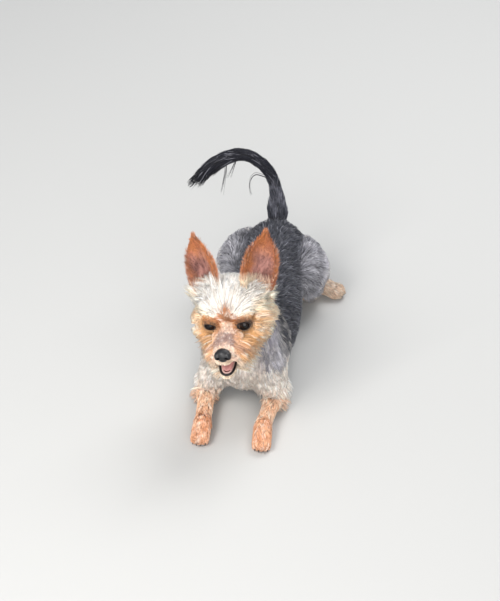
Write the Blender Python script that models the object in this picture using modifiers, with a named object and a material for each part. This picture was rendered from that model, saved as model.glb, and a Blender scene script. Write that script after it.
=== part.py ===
"""A life-size yorkshire terrier lying on its chest, forelegs stretched out, head up and tail curled over.

Metres, +Z up. The floor is z = 0 and the origin lies on the flat under the breastbone. The dog faces -Y and
its left side is +X. Each named part is one closed body, and parts that touch keep a gap of JOINT_GAP.
"""

import math
import random

import bmesh
import bpy
import numpy as np
from mathutils import Matrix, Vector
from mathutils.bvhtree import BVHTree
from mathutils.kdtree import KDTree

# Driving sizes of the dog
BODY_LENGTH = 0.252  # breastbone point to buttock
BACK_HEIGHT = 0.117  # top of the withers above the floor, lying down
CHEST_HALF_WIDTH = 0.0445
BREAST_Y = -0.105  # where the breastbone's point stands
EYE_GAP = 0.035  # between the pupils
EYE_RADIUS = 0.0072
EAR_HEIGHT = 0.069
EAR_HALF_WIDTH = 0.0175
EAR_THICKNESS = 0.0026
NOSE_WIDTH = 0.0172
FOREARM_RADIUS = 0.0082
PAW_HALF_WIDTH = 0.0102
THIGH_RADIUS = 0.0285
TAIL_RADIUS = 0.0056

# Fits and mesh sizes
JOINT_GAP = 0.0003
FLOOR_DEPTH = 0.05  # how far the floor cutter reaches down
LONGEST_LOCK = 0.035
LOCK_SIZES = {
    # length, width, height of the tip over the surface, share by which the tip swings free
    "muzzle": (0.0150, 0.0070, 0.0045, 0.10),
    "crown": (0.0235, 0.0105, 0.0060, 0.00),
    "cheek": (0.0240, 0.0110, 0.0090, 0.15),
    "chin": (0.0130, 0.0072, 0.0040, 0.20),
    "ruff": (0.0270, 0.0125, 0.0075, 0.10),
    "chest": (0.0230, 0.0115, 0.0055, 0.15),
    "flank": (0.0230, 0.0110, 0.0030, 0.00),
    "arm": (0.0220, 0.0105, 0.0045, 0.15),
    "thigh": (0.0260, 0.0120, 0.0038, 0.00),
    "tail": (0.0300, 0.0062, 0.0040, 0.25),
    "feathering": (0.0300, 0.0062, 0.0075, 0.55),
}
LOCK_FLOOR = 0.0022  # the lowest that a lock's middle line runs
LOCK_SINK = 0.0028  # how deep a lock's root is sunk
LOCK_THICKNESS = 0.0021
LOCK_WIDTHS = (0.70, 1.00, 0.72)  # shares of the full width from the root towards the tip
LOCK_THICKNESSES = (1.00, 1.00, 0.70)
SHORTEST_EDGE = 0.000008
PINCH = 0.000002  # points closer than this pinch a surface
ATTEMPTS = 12
SEED = 11

# Pose
PELVIS_SHIFT = -0.0055  # the hips lie a little to the right of the chest
EYE_LINE = Vector((-0.009, -0.1095, 0.1335))  # midway between the eyes
HEAD_YAW, HEAD_PITCH, HEAD_ROLL = math.radians(2.5), math.radians(-8), math.radians(-8)
HEAD = (
    Matrix.Translation(EYE_LINE)
    @ Matrix.Rotation(HEAD_YAW, 4, "Z")
    @ Matrix.Rotation(HEAD_PITCH, 4, "X")
    @ Matrix.Rotation(HEAD_ROLL, 4, "Y")
)
SIDES = {"left": 1.0, "right": -1.0}

COLOURS = {
    "steel": (0.085, 0.090, 0.105),
    "silver": (0.30, 0.30, 0.34),
    "black": (0.018, 0.018, 0.024),
    "cream": (0.78, 0.66, 0.54),
    "gold": (0.62, 0.36, 0.17),
    "rust": (0.42, 0.17, 0.06),
    "tan": (0.60, 0.33, 0.17),
    "leather": (0.012, 0.012, 0.015),
    "eye": (0.020, 0.010, 0.006),
    "tongue": (0.58, 0.24, 0.22),
}
ROUGHNESS = {"leather": 0.35, "eye": 0.05, "tongue": 0.35}


def clear_scene():
    for obj in list(bpy.data.objects):
        bpy.data.objects.remove(obj)


def collection(name):
    made = bpy.data.collections.new(name)
    bpy.context.scene.collection.children.link(made)
    return made


def material(name):
    made = bpy.data.materials.get(name)
    if made:
        return made
    made = bpy.data.materials.new(name)
    made.use_nodes = True
    shader = made.node_tree.nodes["Principled BSDF"]
    shader.inputs["Base Color"].default_value = (*COLOURS[name], 1)
    shader.inputs["Roughness"].default_value = ROUGHNESS.get(name, 0.8)
    shader.inputs["Metallic"].default_value = 0.0
    return made


def object_of(bm, name, into=None):
    """A mesh object from a bmesh, with its faces turned outwards."""
    bmesh.ops.recalc_face_normals(bm, faces=bm.faces)
    mesh = bpy.data.meshes.new(name)
    bm.to_mesh(mesh)
    bm.free()
    obj = bpy.data.objects.new(name, mesh)
    (into or PARTS).objects.link(obj)
    return obj


def catmull(rows, t):
    """Row t of a smooth curve through equally spaced rows, t running from 0 to 1."""
    rows = np.asarray(rows, float)
    last = len(rows) - 1
    place = min(max(t, 0.0), 1.0) * last
    i = min(int(place), last - 1)
    u = place - i
    a, b, c, d = rows[max(i - 1, 0)], rows[i], rows[i + 1], rows[min(i + 2, last)]
    return 0.5 * (
        2 * b + (c - a) * u + (2 * a - 5 * b + 4 * c - d) * u**2 + (3 * b - 3 * c + d - a) * u**3
    )


def loft(name, stations, rings, sides, up=(0, 0, 1), frame=None, into=None):
    """A closed tube through stations of (x, y, z, half width, height above the line, depth below it)."""
    rows = [catmull(stations, i / (rings - 1)) for i in range(rings)]
    centres = np.array([row[:3] for row in rows])
    tangents = np.gradient(centres, axis=0)
    bm = bmesh.new()
    loops = []
    for row, tangent in zip(rows, tangents):
        along = Vector(tangent).normalized()
        side = along.cross(Vector(up)).normalized()
        top = side.cross(along)
        loop = []
        for k in range(sides):
            angle = 2 * math.pi * (k + 0.5) / sides
            height = row[4] if math.sin(angle) > 0 else row[5]
            offset = side * (row[3] * math.cos(angle)) + top * (height * math.sin(angle))
            loop.append(bm.verts.new(Vector(row[:3]) + offset))
        loops.append(loop)
    for first, second in zip(loops, loops[1:]):
        for k in range(sides):
            n = (k + 1) % sides
            bm.faces.new((first[k], first[n], second[n], second[k]))
    for loop, row in ((loops[0], rows[0]), (loops[-1], rows[-1])):
        pole = bm.verts.new(row[:3])
        for k in range(sides):
            bm.faces.new((loop[k], loop[(k + 1) % sides], pole))
    if frame is not None:
        bmesh.ops.transform(bm, matrix=frame, verts=bm.verts)
    return object_of(bm, name, into)


def blob(centre, radii, frame=None, detail=2, into=None):
    """An ellipsoid with its centre and radii in metres."""
    bm = bmesh.new()
    place = (frame or Matrix.Identity(4)) @ Matrix.Translation(centre) @ Matrix.Diagonal((*radii, 1))
    bmesh.ops.create_icosphere(bm, subdivisions=detail, radius=1.0, matrix=place)
    return object_of(bm, "blob", into)


def evaluated_mesh(obj):
    """The object's mesh with its modifiers applied."""
    bpy.context.view_layer.update()
    graph = bpy.context.evaluated_depsgraph_get()
    return bpy.data.meshes.new_from_object(obj.evaluated_get(graph))


def apply_modifiers(obj):
    made = evaluated_mesh(obj)
    obj.modifiers.clear()
    obj.data = made
    return obj


def triangulate(bm):
    """Splits the faces into triangles and drops pairs that fold flat on each other."""
    bmesh.ops.triangulate(bm, faces=bm.faces)
    alike = {}
    for face in bm.faces:
        alike.setdefault(frozenset(face.verts), []).append(face)
    folded = [face for faces in alike.values() if len(faces) > 1 for face in faces]
    bmesh.ops.delete(bm, geom=folded, context="FACES")
    bmesh.ops.delete(bm, geom=[e for e in bm.edges if not e.link_faces], context="EDGES")


def keep_largest(obj):
    """Drops loose scraps and sealed hollows, so that one closed surface is left."""
    bm = bmesh.new()
    bm.from_mesh(obj.data)
    triangulate(bm)
    seen = set()
    groups = []
    for start in bm.faces:
        if start in seen:
            continue
        group, queue = [], [start]
        seen.add(start)
        while queue:
            face = queue.pop()
            group.append(face)
            for edge in face.edges:
                for other in edge.link_faces:
                    if other not in seen:
                        seen.add(other)
                        queue.append(other)
        volume = sum(f.verts[0].co.dot(f.verts[1].co.cross(f.verts[2].co)) for f in group) / 6
        groups.append((volume, group))
    groups.sort(key=lambda pair: pair[0])
    for _, group in groups[:-1]:
        bmesh.ops.delete(bm, geom=group, context="FACES")
    loose = [v for v in bm.verts if not v.link_faces]
    bmesh.ops.delete(bm, geom=loose, context="VERTS")
    bm.to_mesh(obj.data)
    bm.free()
    return obj


def can_collapse(edge):
    """Whether merging the edge's ends leaves the surface closed and no two faces alike."""
    first, second = edge.verts
    near_first = {e.other_vert(first) for e in first.link_edges}
    near_second = {e.other_vert(second) for e in second.link_edges}
    if len(near_first & near_second) != len(edge.link_faces):
        return False
    kept = {*first.link_faces, *second.link_faces} - set(edge.link_faces)
    corners = {frozenset(first if v is second else v for v in face.verts) for face in kept}
    return len(corners) == len(kept)


def collapse_short_edges(obj):
    """Merges the ends of edges too short to build."""
    bm = bmesh.new()
    bm.from_mesh(obj.data)
    triangulate(bm)
    again = True
    while again:
        again = False
        for edge in [e for e in bm.edges if e.calc_length() < SHORTEST_EDGE]:
            if edge.is_valid and can_collapse(edge):
                first, second = edge.verts
                bmesh.ops.pointmerge(bm, verts=[first, second], merge_co=(first.co + second.co) / 2)
                again = True
    bm.to_mesh(obj.data)
    bm.free()
    return obj


def unite(obj, others):
    """Joins closed objects into obj with one Boolean union, and removes them."""
    if not others:
        return obj
    joined = collection("joined")
    for other in others:
        for home in list(other.users_collection):
            home.objects.unlink(other)
        joined.objects.link(other)
    union = obj.modifiers.new("union", "BOOLEAN")
    union.operation = "UNION"
    union.operand_type = "COLLECTION"
    union.collection = joined
    union.solver = "MANIFOLD"
    apply_modifiers(obj)
    for other in list(joined.objects):
        bpy.data.objects.remove(other)
    bpy.data.collections.remove(joined)
    return keep_largest(obj)


def cut(obj, cutter):
    """Takes the cutter's volume off obj. The cutter stays."""
    difference = obj.modifiers.new("difference", "BOOLEAN")
    difference.operation = "DIFFERENCE"
    difference.object = cutter
    difference.solver = "MANIFOLD"
    apply_modifiers(obj)
    return keep_largest(obj)


def box(obj):
    points = np.array([v.co for v in obj.data.vertices])
    return points.min(0), points.max(0)


def boxes_meet(first, second, room=JOINT_GAP):
    """Whether the two objects' boxes overlap, with some room between them."""
    (low, high), (other_low, other_high) = box(first), box(second)
    return bool(np.all(low - room < other_high) and np.all(other_low - room < high))


def grown(obj, gap=JOINT_GAP):
    """A cutter of the object's shape, larger by the gap all round."""
    bm = bmesh.new()
    bm.from_mesh(obj.data)
    bm.normal_update()
    shifts = [v.normal * gap for v in bm.verts]
    for vertex, shift in zip(bm.verts, shifts):
        vertex.co += shift
    return object_of(bm, "grown", CUTTERS)


def keep_clear(obj, *neighbours):
    """Cuts obj back from its finished neighbours by the gap, so that the parts meet face to face."""
    for neighbour in neighbours:
        if boxes_meet(obj, neighbour):
            cutter = grown(neighbour)
            cut(obj, cutter)
            bpy.data.objects.remove(cutter)
    return obj


def trim_at_floor(obj):
    """Cuts off what lies below the floor, which leaves a small flat to rest on."""
    bm = bmesh.new()
    bmesh.ops.create_cube(bm, size=1.0, matrix=Matrix.Diagonal((1, 1, FLOOR_DEPTH, 1)))
    floor = object_of(bm, "floor", CUTTERS)
    floor.data.transform(Matrix.Translation((0, 0, -FLOOR_DEPTH / 2)))
    cut(obj, floor)
    bpy.data.objects.remove(floor)
    return obj


def fuse(name, pieces, voxel, smoothing, share):
    """Melts overlapping closed pieces into one smooth form, thinned to a share of its faces."""
    bm = bmesh.new()
    for piece in pieces:
        bm.from_mesh(piece.data)
        bpy.data.objects.remove(piece)
    obj = object_of(bm, name)
    remesh = obj.modifiers.new("remesh", "REMESH")
    remesh.mode = "VOXEL"
    remesh.voxel_size = voxel
    smooth = obj.modifiers.new("smooth", "SMOOTH")
    smooth.factor = 0.5
    smooth.iterations = smoothing
    thin = obj.modifiers.new("thin", "DECIMATE")
    thin.ratio = share
    return keep_largest(apply_modifiers(obj))


def finish(obj, colour):
    collapse_short_edges(obj)
    obj.data.materials.clear()
    obj.data.materials.append(material(colour))
    obj.data.shade_smooth()
    obj.data.set_sharp_from_angle(angle=math.radians(50))
    return obj


# Torso: share of the body's length, half width, top and bottom, as shares of the driving sizes
TORSO_PROFILE = (
    (0.000, 0.18, 0.68, 0.52),
    (0.035, 0.50, 0.80, 0.42),
    (0.105, 0.76, 0.91, 0.28),
    (0.215, 0.90, 0.98, 0.12),
    (0.330, 0.98, 1.00, 0.01),
    (0.445, 1.02, 0.975, -0.025),
    (0.560, 0.97, 0.935, -0.01),
    (0.670, 0.90, 0.91, 0.01),
    (0.780, 0.86, 0.92, 0.03),
    (0.875, 0.84, 0.92, 0.08),
    (0.945, 0.72, 0.87, 0.17),
    (0.985, 0.44, 0.77, 0.31),
    (1.000, 0.12, 0.62, 0.46),
)


def body_shift(share):
    """How far the spine bends sideways at a share of the body's length."""
    return PELVIS_SHIFT * max(0.0, (share - 0.45) / 0.55) ** 1.3


def torso_stations():
    rows = []
    for share, width, top, bottom in TORSO_PROFILE:
        middle = (top + bottom) / 2 * BACK_HEIGHT
        half = (top - bottom) / 2 * BACK_HEIGHT
        y = BREAST_Y + share * BODY_LENGTH
        rows.append((body_shift(share), y, middle, width * CHEST_HALF_WIDTH, half, half))
    return rows


def build_torso():
    torso = loft("torso", torso_stations(), 17, 16)
    return finish(trim_at_floor(torso), "steel")


NECK_STATIONS = (
    (0.001, -0.0560, 0.070, 0.036, 0.036, 0.040),
    (-0.002, -0.0700, 0.096, 0.034, 0.034, 0.036),
    (-0.006, -0.0790, 0.116, 0.031, 0.030, 0.031),
    (-0.008, -0.0840, 0.130, 0.026, 0.024, 0.025),
)


def build_neck(torso):
    neck = loft("neck", NECK_STATIONS, 8, 16, up=(0, 1, 0.4))
    return finish(keep_clear(neck, torso), "silver")


def eye_place(s):
    return (s * EYE_GAP / 2, 0.0012, 0.0)


def head_core():
    """Skull, brows, cheeks, lids and muzzle, melted into one form."""
    pieces = [
        blob((0, 0.0270, 0.0080), (0.0305, 0.0310, 0.0255), HEAD, into=CUTTERS),
        blob((0, 0.0105, 0.0115), (0.0240, 0.0160, 0.0150), HEAD, into=CUTTERS),
        loft(
            "muzzle",
            (
                (0, 0.0100, -0.0100, 0.0190, 0.0130, 0.0130),
                (0, -0.0060, -0.0110, 0.0158, 0.0100, 0.0110),
                (0, -0.0200, -0.0130, 0.0132, 0.0085, 0.0095),
                (0, -0.0310, -0.0145, 0.0112, 0.0075, 0.0080),
                (0, -0.0360, -0.0150, 0.0070, 0.0050, 0.0050),
            ),
            12,
            16,
            frame=HEAD,
            into=CUTTERS,
        ),
    ]
    for s in SIDES.values():
        lid = EYE_RADIUS + 0.0019
        pieces += [
            blob(eye_place(s), (lid, lid, lid * 0.92), HEAD, into=CUTTERS),
            blob((s * 0.0160, 0.0050, 0.0072), (0.0105, 0.0080, 0.0060), HEAD, into=CUTTERS),
            blob((s * 0.0215, 0.0210, -0.0070), (0.0165, 0.0225, 0.0185), HEAD, into=CUTTERS),
            blob((s * 0.0085, -0.0200, -0.0185), (0.0078, 0.0130, 0.0062), HEAD, into=CUTTERS),
        ]
    return fuse("head", pieces, 0.0024, 4, 0.11)


def build_head(neck, torso):
    head = head_core()
    for s in SIDES.values():
        slit = blob((s * EYE_GAP / 2, -0.0075, -0.0002), (0.0068, 0.0078, 0.0046), HEAD, into=CUTTERS)
        socket = blob(eye_place(s), (EYE_RADIUS + JOINT_GAP,) * 3, HEAD, into=CUTTERS)
        for opening in (slit, socket):
            cut(head, opening)
            bpy.data.objects.remove(opening)
    return finish(keep_clear(head, neck, torso), "gold")


def build_eye(side):
    eye = blob(eye_place(SIDES[side]), (EYE_RADIUS,) * 3, HEAD)
    eye.name = "eye_" + side
    return finish(eye, "eye")


def build_jaw(head, neck):
    jaw = loft(
        "jaw",
        (
            (0, 0.0200, -0.0230, 0.0170, 0.0060, 0.0090),
            (0, 0.0060, -0.0295, 0.0145, 0.0040, 0.0070),
            (0, -0.0080, -0.0345, 0.0112, 0.0035, 0.0055),
            (0, -0.0200, -0.0390, 0.0092, 0.0030, 0.0045),
            (0, -0.0265, -0.0405, 0.0060, 0.0022, 0.0030),
        ),
        9,
        14,
        frame=HEAD,
    )
    return finish(keep_clear(jaw, head, neck), "gold")


def build_tongue(head, jaw, neck):
    tongue = loft(
        "tongue",
        (
            (0, 0.0060, -0.0240, 0.0050, 0.0030, 0.0030),
            (0, -0.0060, -0.0300, 0.0066, 0.0026, 0.0030),
            (0, -0.0160, -0.0340, 0.0070, 0.0022, 0.0030),
            (0, -0.0235, -0.0364, 0.0050, 0.0016, 0.0020),
        ),
        7,
        12,
        frame=HEAD,
    )
    return finish(keep_clear(tongue, jaw, head, neck), "tongue")


def build_nose(head):
    half = NOSE_WIDTH / 2
    nose = blob((0, -0.0370, -0.0132), (half, 0.0062, 0.0062), HEAD)
    nose.name = "nose"
    chin = blob((0, -0.0368, -0.0170), (half * 0.62, 0.0052, 0.0050), HEAD, into=CUTTERS)
    unite(nose, [chin])
    for s in SIDES.values():
        nostril = blob(
            (s * half * 0.52, -0.0432, -0.0146), (0.0021, 0.0036, 0.0014), HEAD, detail=1, into=CUTTERS
        )
        cut(nose, nostril)
        bpy.data.objects.remove(nostril)
    return finish(keep_clear(nose, head), "leather")


EAR_OUTLINE = (0.74, 0.92, 1.00, 0.98, 0.88, 0.71, 0.46, 0.13)  # half width up the ear
EAR_ROOT = {1.0: (0.0285, 0.0195, 0.0225), -1.0: (-0.0215, 0.0190, 0.0205)}
EAR_LEAN = {1.0: math.radians(17), -1.0: math.radians(12)}
EAR_YAW, EAR_BACK = math.radians(20), math.radians(8)


def ear_frame(s):
    root = Matrix.Translation(EAR_ROOT[s])
    turn = Matrix.Rotation(s * EAR_YAW, 4, "Z") @ Matrix.Rotation(s * EAR_LEAN[s], 4, "Y")
    return HEAD @ root @ turn @ Matrix.Rotation(-EAR_BACK, 4, "X")


def build_ear(side, head):
    """A cupped blade: an open curved sheet, thickened, with its hollow side forwards."""
    s = SIDES[side]
    rows, columns = 8, 7
    bm = bmesh.new()
    grid = []
    for i in range(rows):
        t = i / (rows - 1)
        half = float(catmull([[w] for w in EAR_OUTLINE], t)[0]) * EAR_HALF_WIDTH
        cup = 0.0105 * (1 - t) ** 0.8 + 0.0008
        line = []
        for k in range(columns):
            across = 2 * k / (columns - 1) - 1
            depth = cup * (1 - across**2)
            line.append(bm.verts.new((half * across, depth, t * EAR_HEIGHT)))
        grid.append(line)
    for low, high in zip(grid, grid[1:]):
        for k in range(columns - 1):
            bm.faces.new((low[k], low[k + 1], high[k + 1], high[k]))
    bmesh.ops.transform(bm, matrix=ear_frame(s), verts=bm.verts)
    ear = object_of(bm, "ear_" + side)
    thick = ear.modifiers.new("thickness", "SOLIDIFY")
    thick.thickness = EAR_THICKNESS
    thick.offset = 0
    thick.use_even_offset = True
    apply_modifiers(ear)
    return finish(keep_clear(ear, head), "rust")


def side_point(s, x, y, z, shift=0.0):
    return Vector((s * x + shift, y, z))


FORELEG = {
    # side: elbow, wrist and toe tip, as distances from the middle line, along and up
    "left": ((0.0340, -0.0650, 0.0180), (0.0302, -0.1180, 0.0120), (0.0338, -0.1445, 0.0078)),
    "right": ((0.0395, -0.0700, 0.0180), (0.0330, -0.1240, 0.0120), (0.0312, -0.1480, 0.0078)),
}


def row(point, width, top, bottom=None):
    return (*point, width, top, top if bottom is None else bottom)


def build_upper_arm(side, torso, neck):
    s = SIDES[side]
    elbow = FORELEG[side][0]
    stations = [
        row(side_point(s, 0.0240, -0.0400, 0.0860), 0.0130, 0.0100),
        row(side_point(s, 0.0265, -0.0570, 0.0720), 0.0200, 0.0160),
        row(side_point(s, 0.0275, -0.0720, 0.0560), 0.0210, 0.0150),
        row(side_point(s, 0.5 * (0.0275 + elbow[0]), -0.0740, 0.0370), 0.0175, 0.0130),
        row(side_point(s, *elbow), 0.0125, 0.0110),
    ]
    arm = loft("upper_arm_" + side, stations, 11, 14, up=(s * 0.9, -0.3, 0.2))
    return finish(keep_clear(trim_at_floor(arm), torso, neck), "cream")


def build_forearm(side, arm, torso):
    s = SIDES[side]
    elbow, wrist, _ = FORELEG[side]
    r = FOREARM_RADIUS
    start, end = side_point(s, *elbow), side_point(s, *wrist)
    stations = [
        row(start + Vector((0, 0.006, -0.004)), r * 0.9, r * 0.9, r * 1.4),
        row(start + Vector((0, -0.012, -0.003)), r * 1.35, r * 1.25, r * 1.5),
        row(start.lerp(end, 0.5) - Vector((0, 0, 0.0005)), r * 1.1, r, r * 1.4),
        row(end, r * 1.05, r * 0.95, r * 1.3),
    ]
    forearm = loft("forearm_" + side, stations, 9, 12)
    return finish(keep_clear(trim_at_floor(forearm), arm, torso), "tan")


def claw(base, heading):
    """A short curved claw, pointing ahead and down."""
    tip = base + heading * 0.0042 - Vector((0, 0, 0.0030))
    return loft("claw", [row(base, 0.0013, 0.0013), row(tip, 0.0005, 0.0005)], 2, 5, into=CUTTERS)


def toe(tip, heading, half):
    """One toe, rounded at its front and sunk in the paw behind."""
    low = Vector((0, 0, -0.0012))
    stations = [
        row(tip - heading * 0.0110, half * 0.8, 0.0040),
        row(tip - heading * 0.0050, half, 0.0062),
        row(tip - heading * 0.0008 + low, half * 0.72, 0.0038),
    ]
    return loft("toe", stations, 3, 6, into=CUTTERS)


def toes(tip, heading, width):
    """Four toes side by side, each with a short claw, at the front of the paw."""
    across = Vector((heading.y, -heading.x, 0))
    pieces = []
    for k in range(4):
        place = (k - 1.5) / 1.5
        reach = 0.0100 - 0.0030 * max(0, abs(place) - 0.4)
        end = tip + across * (place * width * 0.64) + heading * reach
        pieces.append(toe(end, heading, width * 0.28))
        pieces.append(claw(end - heading * 0.0022 - Vector((0, 0, 0.0010)), heading))
    return pieces


def build_forepaw(side, forearm):
    s = SIDES[side]
    _, wrist, tip = FORELEG[side]
    start, end = side_point(s, *wrist), side_point(s, *tip)
    heading = Vector((end.x - start.x, end.y - start.y, 0)).normalized()
    w = PAW_HALF_WIDTH
    stations = [
        row(start, w * 0.80, 0.0095, 0.0120),
        row(start + heading * 0.010 - Vector((0, 0, 0.0015)), w * 0.95, 0.0090, 0.0110),
        row(end - heading * 0.010 + Vector((0, 0, 0.0012)), w, 0.0078, 0.0100),
        row(end - heading * 0.003, w * 0.70, 0.0050, 0.0070),
    ]
    paw = loft("forepaw_" + side, stations, 5, 12)
    unite(paw, toes(end - heading * 0.005 + Vector((0, 0, -0.0016)), heading, w))
    return finish(keep_clear(trim_at_floor(paw), forearm), "tan")


HINDLEG = {
    "hip": (0.0245, 0.1130, 0.0690),
    "thigh": (0.0390, 0.1060, 0.0510),
    "knee": (0.0440, 0.0945, 0.0385),
    "hock": (0.0400, 0.1270, 0.0190),
    "toe": (0.0715, 0.1290, 0.0090),
}
TOE_TUCK = {1.0: Vector((0, 0, 0)), -1.0: Vector((0.0075, -0.0040, 0))}  # the right foot lies closer in


def hind_point(s, name):
    point = side_point(s, *HINDLEG[name], shift=PELVIS_SHIFT)
    return point + TOE_TUCK[s] if name == "toe" else point


def build_thigh(side, torso):
    s = SIDES[side]
    r = THIGH_RADIUS
    stations = [
        row(hind_point(s, "hip") + Vector((-s * 0.006, 0.003, 0.013)), r * 0.55, r * 0.45),
        row(hind_point(s, "hip"), r * 1.0, r * 0.90),
        row(hind_point(s, "thigh"), r * 0.98, r * 0.92),
        row(hind_point(s, "knee"), r * 0.66, r * 0.62),
        row(hind_point(s, "knee") + Vector((s * 0.004, -0.009, -0.006)), r * 0.30, r * 0.30),
    ]
    thigh = loft("thigh_" + side, stations, 12, 16, up=(s, 0, 0.6))
    return finish(keep_clear(trim_at_floor(thigh), torso), "silver")


def build_shank(side, thigh, torso):
    s = SIDES[side]
    knee, hock = hind_point(s, "knee"), hind_point(s, "hock")
    low = Vector((0, 0, 0.008))
    stations = [
        row(knee - low * 1.4, 0.0120, 0.0110),
        row(knee.lerp(hock, 0.45) - low * 0.7, 0.0145, 0.0120),
        row(knee.lerp(hock, 0.8), 0.0125, 0.0110),
        row(hock, 0.0105, 0.0100),
    ]
    shank = loft("shank_" + side, stations, 9, 12)
    return finish(keep_clear(trim_at_floor(shank), thigh, torso), "cream")


def build_hindpaw(side, shank, thigh, torso):
    s = SIDES[side]
    hock, tip = hind_point(s, "hock"), hind_point(s, "toe")
    heading = Vector((tip.x - hock.x, tip.y - hock.y, 0)).normalized()
    w = PAW_HALF_WIDTH * 0.92
    stations = [
        row(hock - heading * 0.010, w * 0.70, 0.0080, 0.0110),
        row(hock + heading * 0.002 - Vector((0, 0, 0.002)), w * 0.92, 0.0085, 0.0120),
        row(hock.lerp(tip, 0.55), w * 0.92, 0.0080, 0.0110),
        row(tip - heading * 0.006, w * 0.95, 0.0070, 0.0095),
        row(tip - heading * 0.001, w * 0.65, 0.0048, 0.0070),
    ]
    paw = loft("hindpaw_" + side, stations, 6, 12)
    unite(paw, toes(tip - heading * 0.004 + Vector((0, 0, -0.0018)), heading, w))
    return finish(keep_clear(trim_at_floor(paw), shank, thigh, torso), "cream")


TAIL_LINE = (
    # x, y, z and radius as a share of TAIL_RADIUS
    (-0.0045, 0.1240, 0.0850, 1.60),
    (-0.0060, 0.1340, 0.1040, 1.20),
    (-0.0090, 0.1390, 0.1300, 1.00),
    (-0.0180, 0.1400, 0.1540, 0.95),
    (-0.0360, 0.1395, 0.1700, 0.92),
    (-0.0540, 0.1340, 0.1745, 0.88),
    (-0.0740, 0.1260, 0.1690, 0.78),
    (-0.0900, 0.1190, 0.1550, 0.50),
    (-0.1020, 0.1110, 0.1400, 0.12),
)
TAIL_CUTS = (0.0, 0.36, 0.66, 1.0)


def build_tail(torso):
    made = []
    for name, start, end in zip(("tail_root", "tail_middle", "tail_plume"), TAIL_CUTS, TAIL_CUTS[1:]):
        count = 5
        stations = []
        for i in range(count):
            t = start + (end - start) * i / (count - 1)
            x, y, z, r = catmull(TAIL_LINE, t)
            stations.append((x, y, z, *(r * TAIL_RADIUS,) * 3))
        piece = loft(name, stations, 7, 12, up=(0, 1, 0))
        keep_clear(piece, torso, *made)
        made.append(finish(piece, "black"))
    return made


def build_cores():
    torso = build_torso()
    neck = build_neck(torso)
    head = build_head(neck, torso)
    jaw = build_jaw(head, neck)
    build_tongue(head, jaw, neck)
    build_nose(head)
    for side in SIDES:
        build_eye(side)
        build_ear(side, head)
        arm = build_upper_arm(side, torso, neck)
        forearm = build_forearm(side, arm, torso)
        build_forepaw(side, forearm)
        thigh = build_thigh(side, torso)
        shank = build_shank(side, thigh, torso)
        build_hindpaw(side, shank, thigh, torso)
    build_tail(torso)


def scatter(obj, count, spacing, accept, seed):
    """Seeded spots on the faces that the rule accepts, no two closer than the spacing."""
    rng = random.Random(seed)
    mesh = obj.data
    faces, reach = [], []
    total = 0.0
    for face in mesh.polygons:
        corners = [mesh.vertices[i].co.copy() for i in face.vertices]
        if accept(face.center, face.normal):
            total += face.area
            faces.append((corners, face.normal.copy()))
            reach.append(total)
    spots = []
    for _ in range(count * 80):
        if len(spots) == count:
            break
        corners, normal = rng.choices(faces, cum_weights=reach)[0]
        u, v = rng.random(), rng.random()
        if u + v > 1:
            u, v = 1 - u, 1 - v
        spot = corners[0] + (corners[1] - corners[0]) * u + (corners[2] - corners[0]) * v
        if all((spot - other).length > spacing for other, _ in spots):
            spots.append((spot, normal))
    return spots


def lock(tree, root, lie, length, width, rise, hang=0.0, bend=0.0):
    """A flat, tapered lock that leaves the surface at its sunk root and follows the lie to its tip.

    rise is the tip's height over the surface, hang the share by which the tip swings free of it and
    bend the sideways turn, in radians, along the whole length.
    """
    rings = len(LOCK_WIDTHS)
    step = length / rings
    place, last, heading = root, None, None
    line = []
    for i in range(rings + 1):
        t = i / rings
        near, normal, _, _ = tree.find_nearest(place)
        flow = lie(near, normal)
        flow = Matrix.Rotation(bend * t, 3, normal) @ (flow - normal * flow.dot(normal))
        flow = flow.normalized()
        if heading is not None and hang:
            flow = flow.lerp((heading + Vector((0, 0, -0.5 * hang))).normalized(), hang).normalized()
        height = -LOCK_SINK + (rise + LOCK_SINK) * min(1.0, 1.25 * t) ** 0.75
        centre = near + normal * height
        if last is not None and hang:
            centre = centre.lerp(last + flow * step, hang * t)
        centre.z = max(centre.z, LOCK_FLOOR)
        line.append((centre, flow, normal))
        last, heading = centre, flow
        place = centre + flow * step
    bm = bmesh.new()
    loops = []
    for (centre, flow, normal), share, thick in zip(line, LOCK_WIDTHS, LOCK_THICKNESSES):
        side = flow.cross(normal).normalized()
        top = side.cross(flow).normalized()
        half, deep = side * (width * share / 2), top * (LOCK_THICKNESS * thick / 2)
        loops.append([bm.verts.new(centre + offset) for offset in (half, deep, -half, -deep)])
    for first, second in zip(loops, loops[1:]):
        for k in range(4):
            n = (k + 1) % 4
            bm.faces.new((first[k], first[n], second[n]))
            bm.faces.new((first[k], second[n], second[k]))
    tip = bm.verts.new(line[-1][0])
    for k in range(4):
        bm.faces.new((loops[-1][k], loops[-1][(k + 1) % 4], tip))
    base = loops[0]
    bm.faces.new((base[0], base[1], base[2]))
    bm.faces.new((base[0], base[2], base[3]))
    return object_of(bm, "lock", CUTTERS)


def is_sound(obj):
    """Whether the surface is closed, in one piece and nowhere pinched to almost nothing."""
    mesh = obj.data
    bm = bmesh.new()
    bm.from_mesh(mesh)
    closed = all(len(edge.link_faces) == 2 for edge in bm.edges) and all(v.is_manifold for v in bm.verts)
    bm.free()
    near = KDTree(len(mesh.vertices))
    for vertex in mesh.vertices:
        near.insert(vertex.co, vertex.index)
    near.balance()
    return closed and all(len(near.find_range(v.co, PINCH)) == 1 for v in mesh.vertices)


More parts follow.
